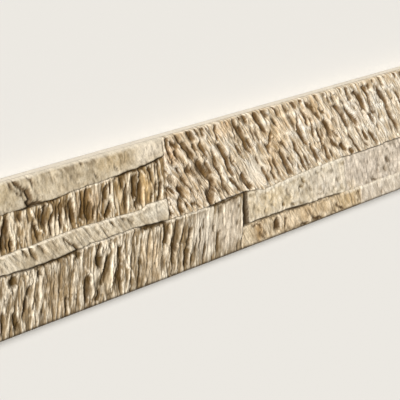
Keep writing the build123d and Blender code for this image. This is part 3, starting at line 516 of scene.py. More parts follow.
# Stain that lies in soft patches over the stones: x, y, half sizes, strength and screen colour
stains = [
    (128, 75, 20, 5, 0.7, (186, 164, 126)), (156, 76, 15, 7, 0.9, (236, 224, 204)),
    (40, 74, 12, 8, 0.4, (176, 158, 122)), (90, 72, 32, 8, 0.5, (180, 164, 136)),
    (152, 55, 6, 10, 0.85, (218, 186, 134)), (129, 56, 4, 9, 0.6, (178, 150, 104)),
    (105, 55, 14, 10, 0.6, (138, 106, 62)), (55, 55, 8, 9, 0.3, (168, 146, 112)),
    (157, 40, 10, 6, 0.6, (210, 203, 188)), (64, 39, 26, 6, 0.4, (186, 169, 140)),
    (76, 14, 12, 14, 0.45, (168, 144, 108)), (150, 15, 10, 14, 0.55, (208, 188, 158)),
    (175, 16, 12, 18, 0.5, (140, 119, 86)), (198, 18, 12, 16, 0.65, (225, 215, 199)),
    (222, 18, 14, 16, 0.75, (230, 216, 196)), (112, 10, 8, 8, 0.4, (206, 190, 162)),
    (225, 75, 8, 6, 0.75, (212, 184, 144)), (278, 62, 14, 16, 0.5, (196, 170, 130)),
    (251, 43, 13, 9, 0.8, (250, 238, 218)), (312, 70, 12, 8, 0.4, (212, 180, 132)),
    (175, 70, 6, 8, 0.5, (200, 160, 110)), (190, 56, 24, 24, 0.25, (168, 140, 102)),
    (386, 62, 10, 13, 0.95, (255, 251, 240)), (372, 56, 46, 24, 0.35, (251, 243, 227)),
    (270, 52, 9, 12, 0.4, (186, 154, 106)), (352, 66, 8, 6, 0.4, (240, 236, 230)),
    (300, 66, 6, 8, 0.4, (240, 234, 224)), (334, 56, 12, 12, 0.3, (222, 196, 160)),
    (366, 60, 8, 8, 0.3, (232, 214, 194)), (259, 24, 18, 9, 0.55, (202, 182, 146)),
    (322, 23, 22, 9, 0.5, (232, 222, 208)), (372, 25, 26, 9, 0.3, (204, 190, 174)),
    (394, 22, 5, 7, 0.4, (150, 136, 114)), (404, 24, 6, 9, 0.35, (222, 208, 190)),
    (346, 7, 12, 6, 0.8, (188, 164, 124)), (251, 8, 5, 7, 0.85, (160, 130, 88)),
    (239, 8, 3, 8, 0.6, (236, 222, 196)), (273, 9, 3, 6, 0.6, (236, 222, 200)),
    (281, 22, 6, 6, 0.5, (206, 184, 142)), (268, 27, 9, 4, 0.4, (216, 196, 158)),
    (304, 18, 8, 4, 0.35, (206, 190, 160)), (352, 14, 8, 5, 0.35, (212, 190, 152)),
    (390, 30, 10, 4, 0.3, (180, 164, 140)), (300, 8, 6, 5, 0.45, (198, 162, 112)),
    (286, 7, 9, 5, 0.5, (232, 212, 182)), (318, 8, 14, 5, 0.3, (206, 178, 136)),
    (243, 8, 5, 6, 0.3, (222, 206, 176)),
]
strokeCount = sum(len(stone["furrows"]) + len(stone["crests"]) for stone in stones.values())
print("stones planned", len(stones), "with", strokeCount, "strokes")


def stoneAt(x, y):
    # which stone each point belongs to, how deep the joints cut its edge there, and how dark they are:
    # a band beside each joint, partly the joint's own dark and partly painted shade, wider and darker
    # where the joint is deeper
    bed, strip, cap, ledge = (jointLine(name, x) for name in ("bed", "strip", "cap", "ledge"))
    blockX = joints["blockX"] + jointStray("block", y)
    slabX = joints["slabEnd"] + jointStray("slab", y)
    goldX = joints["goldEnd"] + jointStray("gold", y)
    riserX = joints["riserFoot"] + joints["riserLean"] * y + jointStray("riser", y)
    gapX = riserX + np.interp(y, *np.array(joints["riserGap"]).T)
    above, leftBlock, leftRiser = y > bed, (y > bed) & (x < blockX), x < riserX
    # where each stone lies, the first that fits and the last for what is left, and its sides: the way
    # in from a joint, and how deep that is cut, in millimetres or by the name of a changing depth
    cases = [
        (leftBlock & (y > cap), "cap", [(y - cap, "capDepth"), (blockX - x, 0.9)]),
        (leftBlock & (y > strip), "rubble", [(y - strip, 0.5), (cap - y, "capDepth"), (blockX - x, 0.6)]),
        (leftBlock, "strip", [(y - bed, "bedDepth"), (strip - y, 0.5), (blockX - x, 0.8)]),
        (above, "slant", [(y - bed, "bedDepth"), (x - blockX, 0.6)]),
        (leftRiser, "reeds", [(bed - y, "bedDepth"), (riserX - x, 1.1)]),
        # the pale slab's side along the open gap is cut deep and painted dark: painted shade on a wall that
        # faces the key light
        (
            (y > ledge) & (x < slabX), "pale",
            [(bed - y, "bedDepth"), (y - ledge, "ledgeDepth"), (x - gapX, 2.1), (slabX - x, 0.3)],
        ),
        (y > ledge, "grey", [(bed - y, "bedDepth"), (y - ledge, "ledgeDepth"), (x - slabX, 0.3)]),
        (x < goldX, "gold", [(ledge - y, "ledgeDepth"), (x - riserX, 0.9), (goldX - x, 0.5)]),
        (x > -1, "dusk", [(ledge - y, "ledgeDepth"), (x - goldX, 0.5)]),
    ]
    index = np.full(x.shape, -1)
    near, far = joints["darkReach"]
    cut, shade = np.zeros(x.shape), np.zeros(x.shape)
    for inside, name, sides in cases:
        mine = inside & (index < 0)
        index[mine] = stoneNames.index(name)
        roll = stones[name]["roll"]
        for gap, depth in sides:
            depth = jointDepth(depth, x) if isinstance(depth, str) else depth
            # a quarter-round from the joint's floor up to the stone's face
            side = depth * (1 - np.sqrt(1 - (1 - np.clip(gap / roll, 0, 1)) ** 2))
            cut = np.where(mine, np.maximum(cut, side), cut)
            side = smoothStep(*joints["darkDepth"], depth) * (1 - smoothStep(near * depth, far * depth, gap))
            shade = np.where(mine, np.maximum(shade, side), shade)
    return index, cut, shade


def scoopShare(name, x, y):
    # 1 in the middle of the scoop, falling as 1 - r^2 to 0 at its radius, on the one stone that has it
    far = np.hypot(x - scoop["place"][0], y - scoop["place"][1]) / scoop["radius"]
    return np.clip(1 - far**2, 0, 1) * (name == scoop["stone"])


def calmAlong(stone, x):
    # 1, less a stone's own share once x has passed its first and last place of that change
    first, last, share = stone.get("calm", (0, 1, 0))
    return 1 - share * smoothStep(first, last, x)


# How stone splits, the same for all nine
cleft = {
    "bend": (0.9, 9),  # how far the grain bends aside, and over what length
    "ridgeSpread": 0.32,  # size of the noise that folds into ridges: more makes them blunter
    "thinSpread": 0.34,  # and the same for thin ridges
    "ridgeSize": (0.7, 1),  # ridges to each of the stone's own pitch and stretch,
    "thinSize": (1.5, 1.6),  # and thin ridges
    "ridgeFloor": -0.4,  # how far the hollows between ridges go down, where the crests are 1
    "reliefShares": (0.6, 0.8, 0.6),  # swells, ridges and thin ridges in the height,
    "reliefLevel": 0.5,  # and what is taken off again
    "lightShares": (0.5, 0.8, 0.5),  # and the three in the paint's lightness, which is partly painted highlight on the ridges
    "gritSize": 1.9,
    "streakSize": (1.1, 4.5),  # width and length
    "strayX": ((0.5, 3.2, 4), (0.3, 0.9, 2.4)),  # how far strokes stray aside, over what width and length
    "strayY": (0.8, 1.6, 6),  # and how far up and down
    "streakDepth": 0.22,  # depth of the fine streaks where split is 1
    "creviceSize": (2.3, 6.5),  # width and length of the noise they come from
    "creviceSpread": 0.085,  # size of the noise that makes a crevice: more makes it wider
    "creviceDepth": 0.7,
    "creviceSoilShade": 0.75,  # how much of the furrows' brown, with its painted shade, lies in it
    "furrowDepth": 1.15,  # depth of a furrow for each millimetre written
    "furrowPower": 1.8,  # roundness of a furrow's bottom: strokeCover's power
    "soilShadeWidth": 0.82,  # width of the brown and painted shade in a furrow, as a share of the furrow's
    "shadeOnLitWall": 0.15,  # how far that brown is moved onto the wall facing the key light, as painted shade on that lit wall, in widths
    "soilShadePower": 2.2,  # and its roundness
    "soilShadeFull": 1.2,  # furrows this deep or more hold all the brown and painted shade they can
    "crestWidth": (0.36, 0.5),  # share of the width written, and what is added to it
    "crestRise": (0.2, 0.4),  # share of the height written, and what raggedness adds
    "crestPower": 1.0,  # roundness of a crest
    "crestLight": 1.6,  # lightness of the paint on it: its own pale glaze and painted highlight
    "crestSoilShade": (0.4, 0.6),  # how much the furrows' brown and shade take off a crest, and a crest off them
}


def splitGrain(stone, seed, x, y):
    # the place across a stone's grain, which bends aside a little, and three sizes of relief drawn out
    # along it: swells of plain noise, then broad and thin sharp ridges, each 1 - |noise| / spread
    bend, run = cleft["bend"]
    across = x + stone["grain"] * y + bend * grainNoise(x / run, y / run, seed + 1)
    u, v = across / stone["pitch"], y / stone["stretch"]
    swell = layeredNoise(u, v, seed + 2)
    (wideU, wideV), (thinU, thinV) = cleft["ridgeSize"], cleft["thinSize"]
    ridge = 1 - np.abs(layeredNoise(u * wideU, v * wideV, seed + 6, 2)) / cleft["ridgeSpread"]
    thin = 1 - np.abs(layeredNoise(u * thinU, v * thinV, seed + 20, 2)) / cleft["thinSpread"]
    floor = cleft["ridgeFloor"]
    return across, swell, np.clip(ridge, floor, 1), np.clip(thin, floor, 1)


def strayed(seed, across, x, y):
    # the points moved a little by noise, so that the strokes' edges come out ragged
    (farA, wideA, longA), (farB, wideB, longB) = cleft["strayX"]
    farY, wideY, longY = cleft["strayY"]
    aside = x + farA * grainNoise(x / wideA, y / longA, seed + 13)
    aside = aside + farB * grainNoise(across / wideB, y / longB, seed + 14)
    return aside, y + farY * grainNoise(across / wideY, y / longY, seed + 15)


def creviceCover(stone, seed, across, y):
    # thin crevices where a drawn-out noise passes through 0, only where a broader one is high
    wide, long = cleft["creviceSize"]
    line = np.abs(layeredNoise(across / wide, y / long, seed + 40, 2)) / cleft["creviceSpread"]
    where = smoothStep(-0.1, 0.35, layeredNoise(across / 5, y / 9, seed + 41, 2))
    return np.clip(1 - line, 0, 1) * stone["split"] * where


def drawStrokes(stone, x, y, ragged, height, soilAndShade, light):
    # height less a stone's furrows, with their brown moved onto the wall towards the key light as painted
    # shade there, then plus its crests: the brown weakens a crest, and a crest takes the brown away and
    # lightens the paint, partly as painted highlight
    level = bedLevel + stone["rise"]
    for width, depth, *points in stone["furrows"]:
        middle = level - 0.5 * depth
        cover = strokeCover(x, y, (width, depth, *points), middle, cleft["furrowPower"])
        height -= cleft["furrowDepth"] * depth * cover
        # the furrow's brown, moved onto the wall that faces the key light: painted shade there, beside its
        # own brown
        narrower = (cleft["soilShadeWidth"] * width, depth, *points)
        cover = strokeCover(x - cleft["shadeOnLitWall"] * width, y, narrower, middle, cleft["soilShadePower"])
        soilAndShade = np.maximum(soilAndShade, cover * min(1, depth / cleft["soilShadeFull"]) * (0.75 + 0.25 * ragged))
    share, more = cleft["crestWidth"]
    even, uneven = cleft["crestRise"]
    less, rid = cleft["crestSoilShade"]
    for width, rise, *points in stone["crests"]:
        thinner = (share * width + more, rise, *points)
        cover = strokeCover(x, y, thinner, level + 0.4 * rise, cleft["crestPower"]) * (1 - less * soilAndShade)
        height += rise * cover * (even + uneven * ragged)
        soilAndShade = soilAndShade * (1 - rid * cover)
        light = np.maximum(light, cleft["crestLight"] * cover)
    return height, soilAndShade, light


def stoneSurface(name, x, y):
    # a stone's height over bedLevel, the brown and painted shade in its furrows and the sharpness of its
    # crests: its level plus lean, less the scoop, plus swells and sharp ridges along its grain, grit and
    # streaks, less crevices, and then its drawn strokes
    stone = stones[name]
    seed = 10 * stoneNames.index(name)
    across, swell, ridge, thin = splitGrain(stone, seed, x, y)
    grit = layeredNoise(x / cleft["gritSize"], y / cleft["gritSize"], seed + 12, 2)
    streak = layeredNoise(across / cleft["streakSize"][0], y / cleft["streakSize"][1], seed + 30, 2)
    ragged = 1 + 0.5 * streak + 0.12 * grainNoise(x / 1.4, y / 1.8, seed + 31)
    hollow = scoopShare(name, x, y)
    calm = (1 - scoop["calm"] * np.sqrt(hollow)) * calmAlong(stone, x)
    crevice = creviceCover(stone, seed, across, y) * calm
    height = stone["rise"] + stone["lean"] * (y - (y.min() + y.max()) / 2) - scoop["depth"] * hollow
    swells, ridges, thins = cleft["reliefShares"]
    relief = swells * swell + ridges * ridge + thins * thin - cleft["reliefLevel"]
    height += stone["rough"] * calm * relief + stone["grit"] * grit
    height += cleft["streakDepth"] * stone["split"] * streak - cleft["creviceDepth"] * crevice
    swells, ridges, thins = cleft["lightShares"]
    light = np.clip(ridges * ridge + thins * thin + swells * swell, 0, 1)
    soilAndShade = cleft["creviceSoilShade"] * crevice
    return drawStrokes(stone, *strayed(seed, across, x, y), ragged, height, soilAndShade, light)


# The face's rim and limits
edge = {
    "radius": 1.3,  # rounding along the four edges,
    "capRadius": 3.2,  # and along the top of the cap stone
    "level": 0.6,  # where the rounding starts, over bedLevel
    "deepest": 0.3,  # the face stays this far under bedLevel at most,
    "underTop": 0.02,  # and this far under the solid's top at least
}


def tileFace(x, y):
    # height of the face over the back plane, then the furrows' brown and painted shade, the paint's
    # lightness with its painted highlight, joint and stone for its colour: each stone's own surface, less
    # the joints' cuts, lowered by a quarter-round along the four edges
    index, cut, shade = stoneAt(x, y)
    height, soilAndShade, light = (np.zeros_like(x) for _ in range(3))
    for number, name in enumerate(stoneNames):
        mine = index == number
        if mine.any():
            height[mine], soilAndShade[mine], light[mine] = stoneSurface(name, x[mine], y[mine])
    height = height - cut * (0.6 + 0.25 * height)
    seam = np.maximum(smoothStep(*joints["darkCut"], cut), shade)
    capTop = (index == stoneNames.index("cap")) & (y > tileWidth / 2)
    radius = np.where(capTop, edge["capRadius"], edge["radius"])
    inward = np.minimum.reduce([x, tileLength - x, y, tileWidth - y])
    rounded = np.sqrt(np.clip(1 - (1 - np.clip(inward / radius, 0, 1)) ** 2, 0, 1))
    height = edge["level"] + (np.clip(height, -edge["deepest"], None) - edge["level"]) * rounded
    height = np.clip(bedLevel + height, bedLevel - edge["deepest"], tileHeight - edge["underTop"])
    return height, soilAndShade, light, seam, index


# The ring of rows that is carried along the tile: bottom wall, face, top wall, back
mesh = {
    "columns": 820,
    "faceRows": (15, 25, 14, 27, 15),  # bottom edge to ledge, bed, strip, cap and top edge
    "wallLevels": (0.5, 3.6, 7.2),
    "bunching": 0.35,  # how much closer rows stand at a joint
    "arris": 0.5,
    "uprightHalf": 0.3,  # columns stand this far each side of an upright joint
    "leanMiddle": 16,  # the columns beside the leaning joint turn about this y,
    "leanReach": 9,  # within about this far of it,
    "leanFade": (30, 44),  # and stand straight again between these two
}
# The back's grid of shallow pockets
key = {"columns": 21, "rows": 4, "pitchX": 20.2, "pitchY": 16.4, "rib": 3.0, "depth": 0.8, "slope": 0.56}


def snapped(lines, wanted):
    # grid lines with the nearest ones moved onto the wanted places, the pairs of a slope side by side
    lines = lines.copy()
    for pair in wanted:
        first = np.abs(lines - pair[0]).argmin()
        for step, place in enumerate(pair):
            lines[first + step] = place
    return lines


def pocketCentres(middle, count, pitch):
    # the key pockets' centres along one direction, evenly spaced about the middle
    return middle + (np.arange(count) - (count - 1) / 2) * pitch


def pocketEdges(middle, count, pitch):
    # outer and inner edge of each side of each pocket of the back's key, along one direction
    half = (pitch - key["rib"]) / 2
    outer = pocketCentres(middle, count, pitch)[:, None] + [-half, half]
    inner = outer + [key["slope"], -key["slope"]]
    return [tuple(sorted(pair)) for pair in zip(outer.ravel(), inner.ravel())]


def pocketDepth(place, middle, count, pitch):
    # 1 on a pocket's floor, 0 on a rib, and a straight slope between, along one direction
    half = (pitch - key["rib"]) / 2
    gap = half - np.abs(place[..., None] - pocketCentres(middle, count, pitch)).min(axis=-1)
    return np.clip(gap / key["slope"], 0, 1)


def faceRowPlaces(x):
    # y of every face row at each x: rows run between the joints and bunch up beside them, as
    # t - bunching sin(2 pi t) / 2 pi
    lines = [x * 0] + [jointLine(name, x) for name in ("ledge", "bed", "strip", "cap")] + [x * 0 + tileWidth]
    rows = []
    for low, high, count in zip(lines, lines[1:], mesh["faceRows"]):
        t = np.arange(count) / count
        t = t - mesh["bunching"] * np.sin(2 * math.pi * t) / (2 * math.pi)
        rows.append(low[:, None] + (high - low)[:, None] * t)
    return np.concatenate(rows + [lines[-1][:, None]], axis=1)


def meshColumns():
    # x of every column: evenly spaced, with the nearest ones moved onto the arrises at the two ends,
    # the sides of the back's pockets and the upright joints
    columns = np.linspace(0, tileLength, mesh["columns"])
    columns[[1, -2]] = mesh["arris"], tileLength - mesh["arris"]
    columns = snapped(columns, pocketEdges(tileLength / 2, key["columns"], key["pitchX"]))
    half = mesh["uprightHalf"]
    uprights = (joints[name] for name in ("blockX", "slabEnd", "goldEnd"))
    return np.sort(snapped(columns, [(place - half, place + half) for place in uprights]))


def tileFacePoints(columns):
    # x and y of every face point: columns by rows, with the columns beside the leaning joint leaning too
    y = faceRowPlaces(columns)
    x = np.repeat(columns[:, None], y.shape[1], axis=1)
    riserMiddle = joints["riserFoot"] + joints["riserLean"] * mesh["leanMiddle"]
    pull = np.exp(-(((x - riserMiddle) / mesh["leanReach"]) ** 2)) * (1 - smoothStep(*mesh["leanFade"], y))
    return x + pull * joints["riserLean"] * (y - mesh["leanMiddle"]), y


def tileBackPoints(columns):
    # the back's points, from the top edge down: flat but for the pockets, whose depth is the lesser of
    # the two along x and y, and lifted by the arris at the two ends
    edges = pocketEdges(tileWidth / 2, key["rows"], key["pitchY"])
    rows = sorted({place for pair in edges for place in pair})
    rows = np.array([mesh["arris"], *rows, tileWidth - mesh["arris"]])[::-1]
    x, y = np.meshgrid(columns, rows, indexing="ij")
    dent = pocketDepth(x, tileLength / 2, key["columns"], key["pitchX"])
    z = key["depth"] * np.minimum(dent, pocketDepth(y, tileWidth / 2, key["rows"], key["pitchY"]))
    z[[0, -1]] = mesh["arris"]
    return np.stack([x, y, z], axis=-1)


def skinMesh(name, points, quads, caps):
    # a mesh of quads and many-sided caps, filled by whole arrays
    skin = bpy.data.meshes.new(name)
    skin.vertices.add(len(points))
    skin.vertices.foreach_set("co", points.astype(np.float32).ravel())
    corners = np.concatenate([quads.ravel(), *caps])
    sizes = np.concatenate([np.full(len(quads), 4), [len(cap) for cap in caps]])
    starts = np.concatenate([[0], np.cumsum(sizes)[:-1]])
    skin.loops.add(len(corners))
    skin.loops.foreach_set("vertex_index", corners.astype(np.int32))
    skin.polygons.add(len(sizes))
    skin.polygons.foreach_set("loop_start", starts.astype(np.int32))
    skin.update(calc_edges=True)
    skin.validate()
    return skin


def tileMesh():
    # the tile as one closed skin: a ring of rows round its section, carried along its length,
    # and shut by a flat face at each end
    columns = meshColumns()
    faceX, faceY = tileFacePoints(columns)
    faceZ, soilAndShade, light, seam, index = tileFace(faceX, faceY)
    print("face worked out", faceX.shape, "height", round(faceZ.min(), 2), "to", round(faceZ.max(), 2))

    levels = np.array(mesh["wallLevels"])
    bottomWall = np.stack(np.broadcast_arrays(columns[:, None], 0.0, levels), axis=-1)
    topWall = np.stack(np.broadcast_arrays(columns[:, None], tileWidth, levels[::-1]), axis=-1)
    face = np.stack([faceX, faceY, faceZ], axis=-1)
    ring = np.concatenate([bottomWall, face, topWall, tileBackPoints(columns)], axis=1)
    sections, around = ring.shape[:2]

    number = np.arange(sections * around).reshape(sections, around)
    ahead = np.roll(number, -1, axis=1)
    quads = np.stack([number[:-1], number[1:], ahead[1:], ahead[:-1]], axis=-1).reshape(-1, 4)
    points = (ring.reshape(-1, 3) + [tileLow[0], tileLow[1], 0]) * mm
    # the first end's cap runs round one way and the last end's the other, so both look outwards
    skin = skinMesh("stoneTile", points, quads, (number[0][::-1], number[-1]))

    colour, across = paintTile(faceX, faceY, faceZ, soilAndShade, light, seam, index)
    before, after = len(levels), around - len(levels) - faceX.shape[1]
    wall = np.ones((sections, 1, 4)) * np.append(toLinear(*glaze["wallColour"]), 1)
    colour = np.concatenate([np.repeat(wall, before, 1), colour, np.repeat(wall, after, 1)], axis=1)
    across = np.pad(across, ((0, 0), (before, after)))
    layer = skin.attributes.new("stoneColour", "FLOAT_COLOR", "POINT")
    layer.data.foreach_set("color", colour.astype(np.float32).ravel())
    layer = skin.attributes.new("grainAcross", "FLOAT", "POINT")
    layer.data.foreach_set("value", across.astype(np.float32).ravel())
    print("tile mesh", len(points), "vertices", len(quads) * 2 + 2 * (around - 2), "triangles")
    return skin


# Fired surface: what a user would change in the glaze and the bare body
glaze = {
    "roughness": (0.45, 0.7),
    "shine": 0.2,  # specular level
    "brightest": 0.84,  # most light that any point of the glaze gives back
    "rimColour": (232, 221, 201),  # thin pale glaze along the top edge
    "wallColour": (249, 243, 231),
    "crestTone": (0.1, 1.1),  # tones at which a point is all body, and all crest
    "soilShadeTone": (-0.9, 0.15, 0.55),  # and where the brown, partly painted shade in the low places, is at its most, where it ends, and how much
    "crestFleck": 1.1,  # a pale fleck's brightness to its stone's crest
    "stainWander": (0.35, 7),  # how far a stain's edge wanders, in half sizes, and over what length
    "stainEdge": (0.3, 1.35),  # where it starts to fade and where it ends, in half sizes
    "stainLift": (0.85, 0.5),  # its brightness, and what the stone under it adds
    "mottle": ((0.1, 5, 4, 610), (0.06, 2.2, 2.2, 611)),  # strength, size in x and y, and seed
    "speckSize": 1100,  # speckles per metre
    "speckShade": (0.82, 1.06),  # brightness in a speckle, and between them
    "cloudSize": 160,
    "cloudShade": (0.93, 1.06),
    "gritSize": 2600,
    "fineBump": (0.7, 0.00022),  # strength, and height in metres
    "drawnOut": 0.22,  # places along y count this much, which draws the noise out along the grain
    "striationPitch": 1500,  # striations per metre across the grain
    "ridgePitch": 430,  # and fine ridges
    "ridgeShade": ((0.66, 0.57, 0.45), (1.18, 1.18, 1.19)),  # warm painted shade between the fine ridges, and painted highlight on them
    "ridgeBump": (0.8, 0.0005),
    "bodyColour": (240, 231, 216),
    "bodyLevel": 3.1,  # back plane to the lip of the glaze
    "lipWaver": 0.8,  # how far the lip wanders down,
    "lipPitch": 120,  # how often per metre,
    "lipBlend": 0.5,  # and over what height the glaze thins out
}


def stoneTones(z, light, index):
    # colour of each face point: body to crest as it stands higher and sharper, partly its own pale
    # glaze and partly painted highlight, and towards the furrows' brown where it lies low, partly its own
    # brown and partly painted shade
    colour = np.zeros(z.shape + (3,))
    low, high, most = glaze["soilShadeTone"]
    for number, stone in enumerate(stones.values()):
        mine = index == number
        lift = (z[mine] - bedLevel - stone["rise"]) / (1.2 * stone["rough"] + 0.5)
        tone = 0.5 * lift + light[mine]
        crest, body, soilShadeColour = (toLinear(*stone[kind]) for kind in ("crest", "body", "soilAndShade"))
        own = mixIn(body, crest, smoothStep(*glaze["crestTone"], tone))
        colour[mine] = mixIn(own, soilShadeColour, most * (1 - smoothStep(low, high, tone)))
    return colour


def grainPlaces(x, y, index):
    # the place of each face point across its stone's grain, and the share of fine ridges there
    across, fine = np.zeros_like(x), np.zeros_like(x)
    for number, (name, stone) in enumerate(stones.items()):
        mine = index == number
        px, py = x[mine], y[mine]
        across[mine] = px + stone["grain"] * py
        plain = scoop["plain"] * np.sqrt(scoopShare(name, px, py))
        fine[mine] = stone["fine"] * (1 - plain) * calmAlong(stone, px)
    return across, fine


def addStains(colour, x, y):
    # soft oval patches with a wandering edge, lighter where the stone under them is lighter
    astray, run = glaze["stainWander"]
    plain, lift = glaze["stainLift"]
    wander = astray * layeredNoise(x / run, y / run, 501)
    for middleX, middleY, halfX, halfY, strength, tint in stains:
        far = np.hypot((x - middleX) / halfX, (y - middleY) / halfY) + wander
        tint = toLinear(*tint) * (plain + lift * colour.mean(-1, keepdims=True))
        colour = mixIn(colour, tint, strength * (1 - smoothStep(*glaze["stainEdge"], far)))
    return colour


def addFlecksSoilAndShade(colour, x, y, across, soilAndShade, index):
    # pale and dark flecks where a drawn-out noise is low and high, and the furrows' brown with its
    # painted shade, streaked along the grain
    streak = np.clip(layeredNoise(across / 0.9, y / 4, 721, 2), 0, 1)
    flecks = layeredNoise(across / 1.3, y / 2.2, 701, 2)
    flecks += 0.5 * layeredNoise(x / 8, y / 8, 702) + 0.5 * grainNoise(x / 3.4, y / 2.6, 703)
    for number, stone in enumerate(stones.values()):
        mine = index == number
        pale = stone["fleck"] * smoothStep(0.1, 0.8, -flecks[mine])
        dark = stone["fleck"] * smoothStep(0.15, 0.9, flecks[mine])
        dark = np.maximum(dark, (0.96 - 0.3 * streak[mine]) * smoothStep(0.06, 0.7, soilAndShade[mine]))
        own = mixIn(colour[mine], toLinear(*stone["crest"]) * glaze["crestFleck"], pale)
        colour[mine] = mixIn(own, toLinear(*stone["soilAndShade"]), dark)
    return colour


def addLitEdges(colour, x, y):
    # painted highlight in a ragged band just under a joint, faded in and out along it
    for name, first, last, width in joints["litEdges"]:
        fade = joints["litEdgeFade"]
        below = jointLine(name, x) - y + 0.25 * layeredNoise(x / 2, y / 2, 641)
        along = smoothStep(first - fade, first + fade, x) * (1 - smoothStep(last - fade, last + fade, x))
        lip = along * smoothStep(-0.5, 0.1, below) * (1 - smoothStep(0.5 * width, width, below))
        lip = lip * np.clip(0.65 + 0.6 * layeredNoise(x / 3.5, y / 3.5, 642), 0, 0.9)
        colour = mixIn(colour, toLinear(*joints["litEdgeColour"]), lip)
    return colour


def paintTile(x, y, z, soilAndShade, light, seam, index):
    # colour of each face point, with the share of fine ridges as its fourth number, and its place across
    # the grain in metres: the stones' tones, stains, flecks, and the furrows' brown with its painted shade,
    # then dark joints with painted shade and a painted shadow along the bottom edge, painted highlights
    # along the edges under joints and the pale top edge, a soft mottle, and last a limit that keeps the hue
    across, fine = grainPlaces(x, y, index)
    colour = addStains(stoneTones(z, light, index), x, y)
    colour = addFlecksSoilAndShade(colour, x, y, across, soilAndShade, index)
    # painted shadow along the bottom edge, mixed in with the joints' dark
    bottomShadow = 1 - smoothStep(0.3 * joints["bottomShadowReach"], joints["bottomShadowReach"], y)
    seam = joints["darkness"] * np.maximum(seam, 0.9 * bottomShadow)
    colour = addLitEdges(mixIn(colour, toLinear(*joints["colour"]), seam), x, y)
    reach = joints["rimPale"] * np.where(index == stoneNames.index("cap"), 1.0, joints["rimThin"])
    reach = reach * (1 + 0.5 * layeredNoise(x / 3, y / 3, 631) + 0.4 * layeredNoise(x / 16, y * 0, 632))
    colour = mixIn(colour, toLinear(*glaze["rimColour"]), smoothStep(tileWidth - reach, tileWidth - 0.2, y))
    shade = np.ones_like(x)
    for strength, wide, long, seed in glaze["mottle"]:
        shade += strength * layeredNoise(x / wide, y / long, seed)
    shade += (0.07 + 0.09 * fine) * layeredNoise(across / 0.8, y / 3.5, 612, 2)
    colour = np.clip(colour * shade[..., None], 0, None)
    colour *= np.minimum(1, glaze["brightest"] / np.maximum(colour.max(-1, keepdims=True), 1e-6))
    return np.concatenate([colour, (fine * (1 - seam))[..., None]], axis=-1), across * mm


def addNode(tree, kind, place, inputs=None, **settings):
    # a shader node with its settings, then its inputs: another node's output is linked, a value is set
    node = tree.nodes.new("ShaderNode" + kind)
    node.location = place
    for name, value in settings.items():
        setattr(node, name, value)
    for name, value in (inputs or {}).items():
        if isinstance(value, bpy.types.NodeSocket):
            tree.links.new(value, node.inputs[name])
        else:
            node.inputs[name].default_value = value
    return node


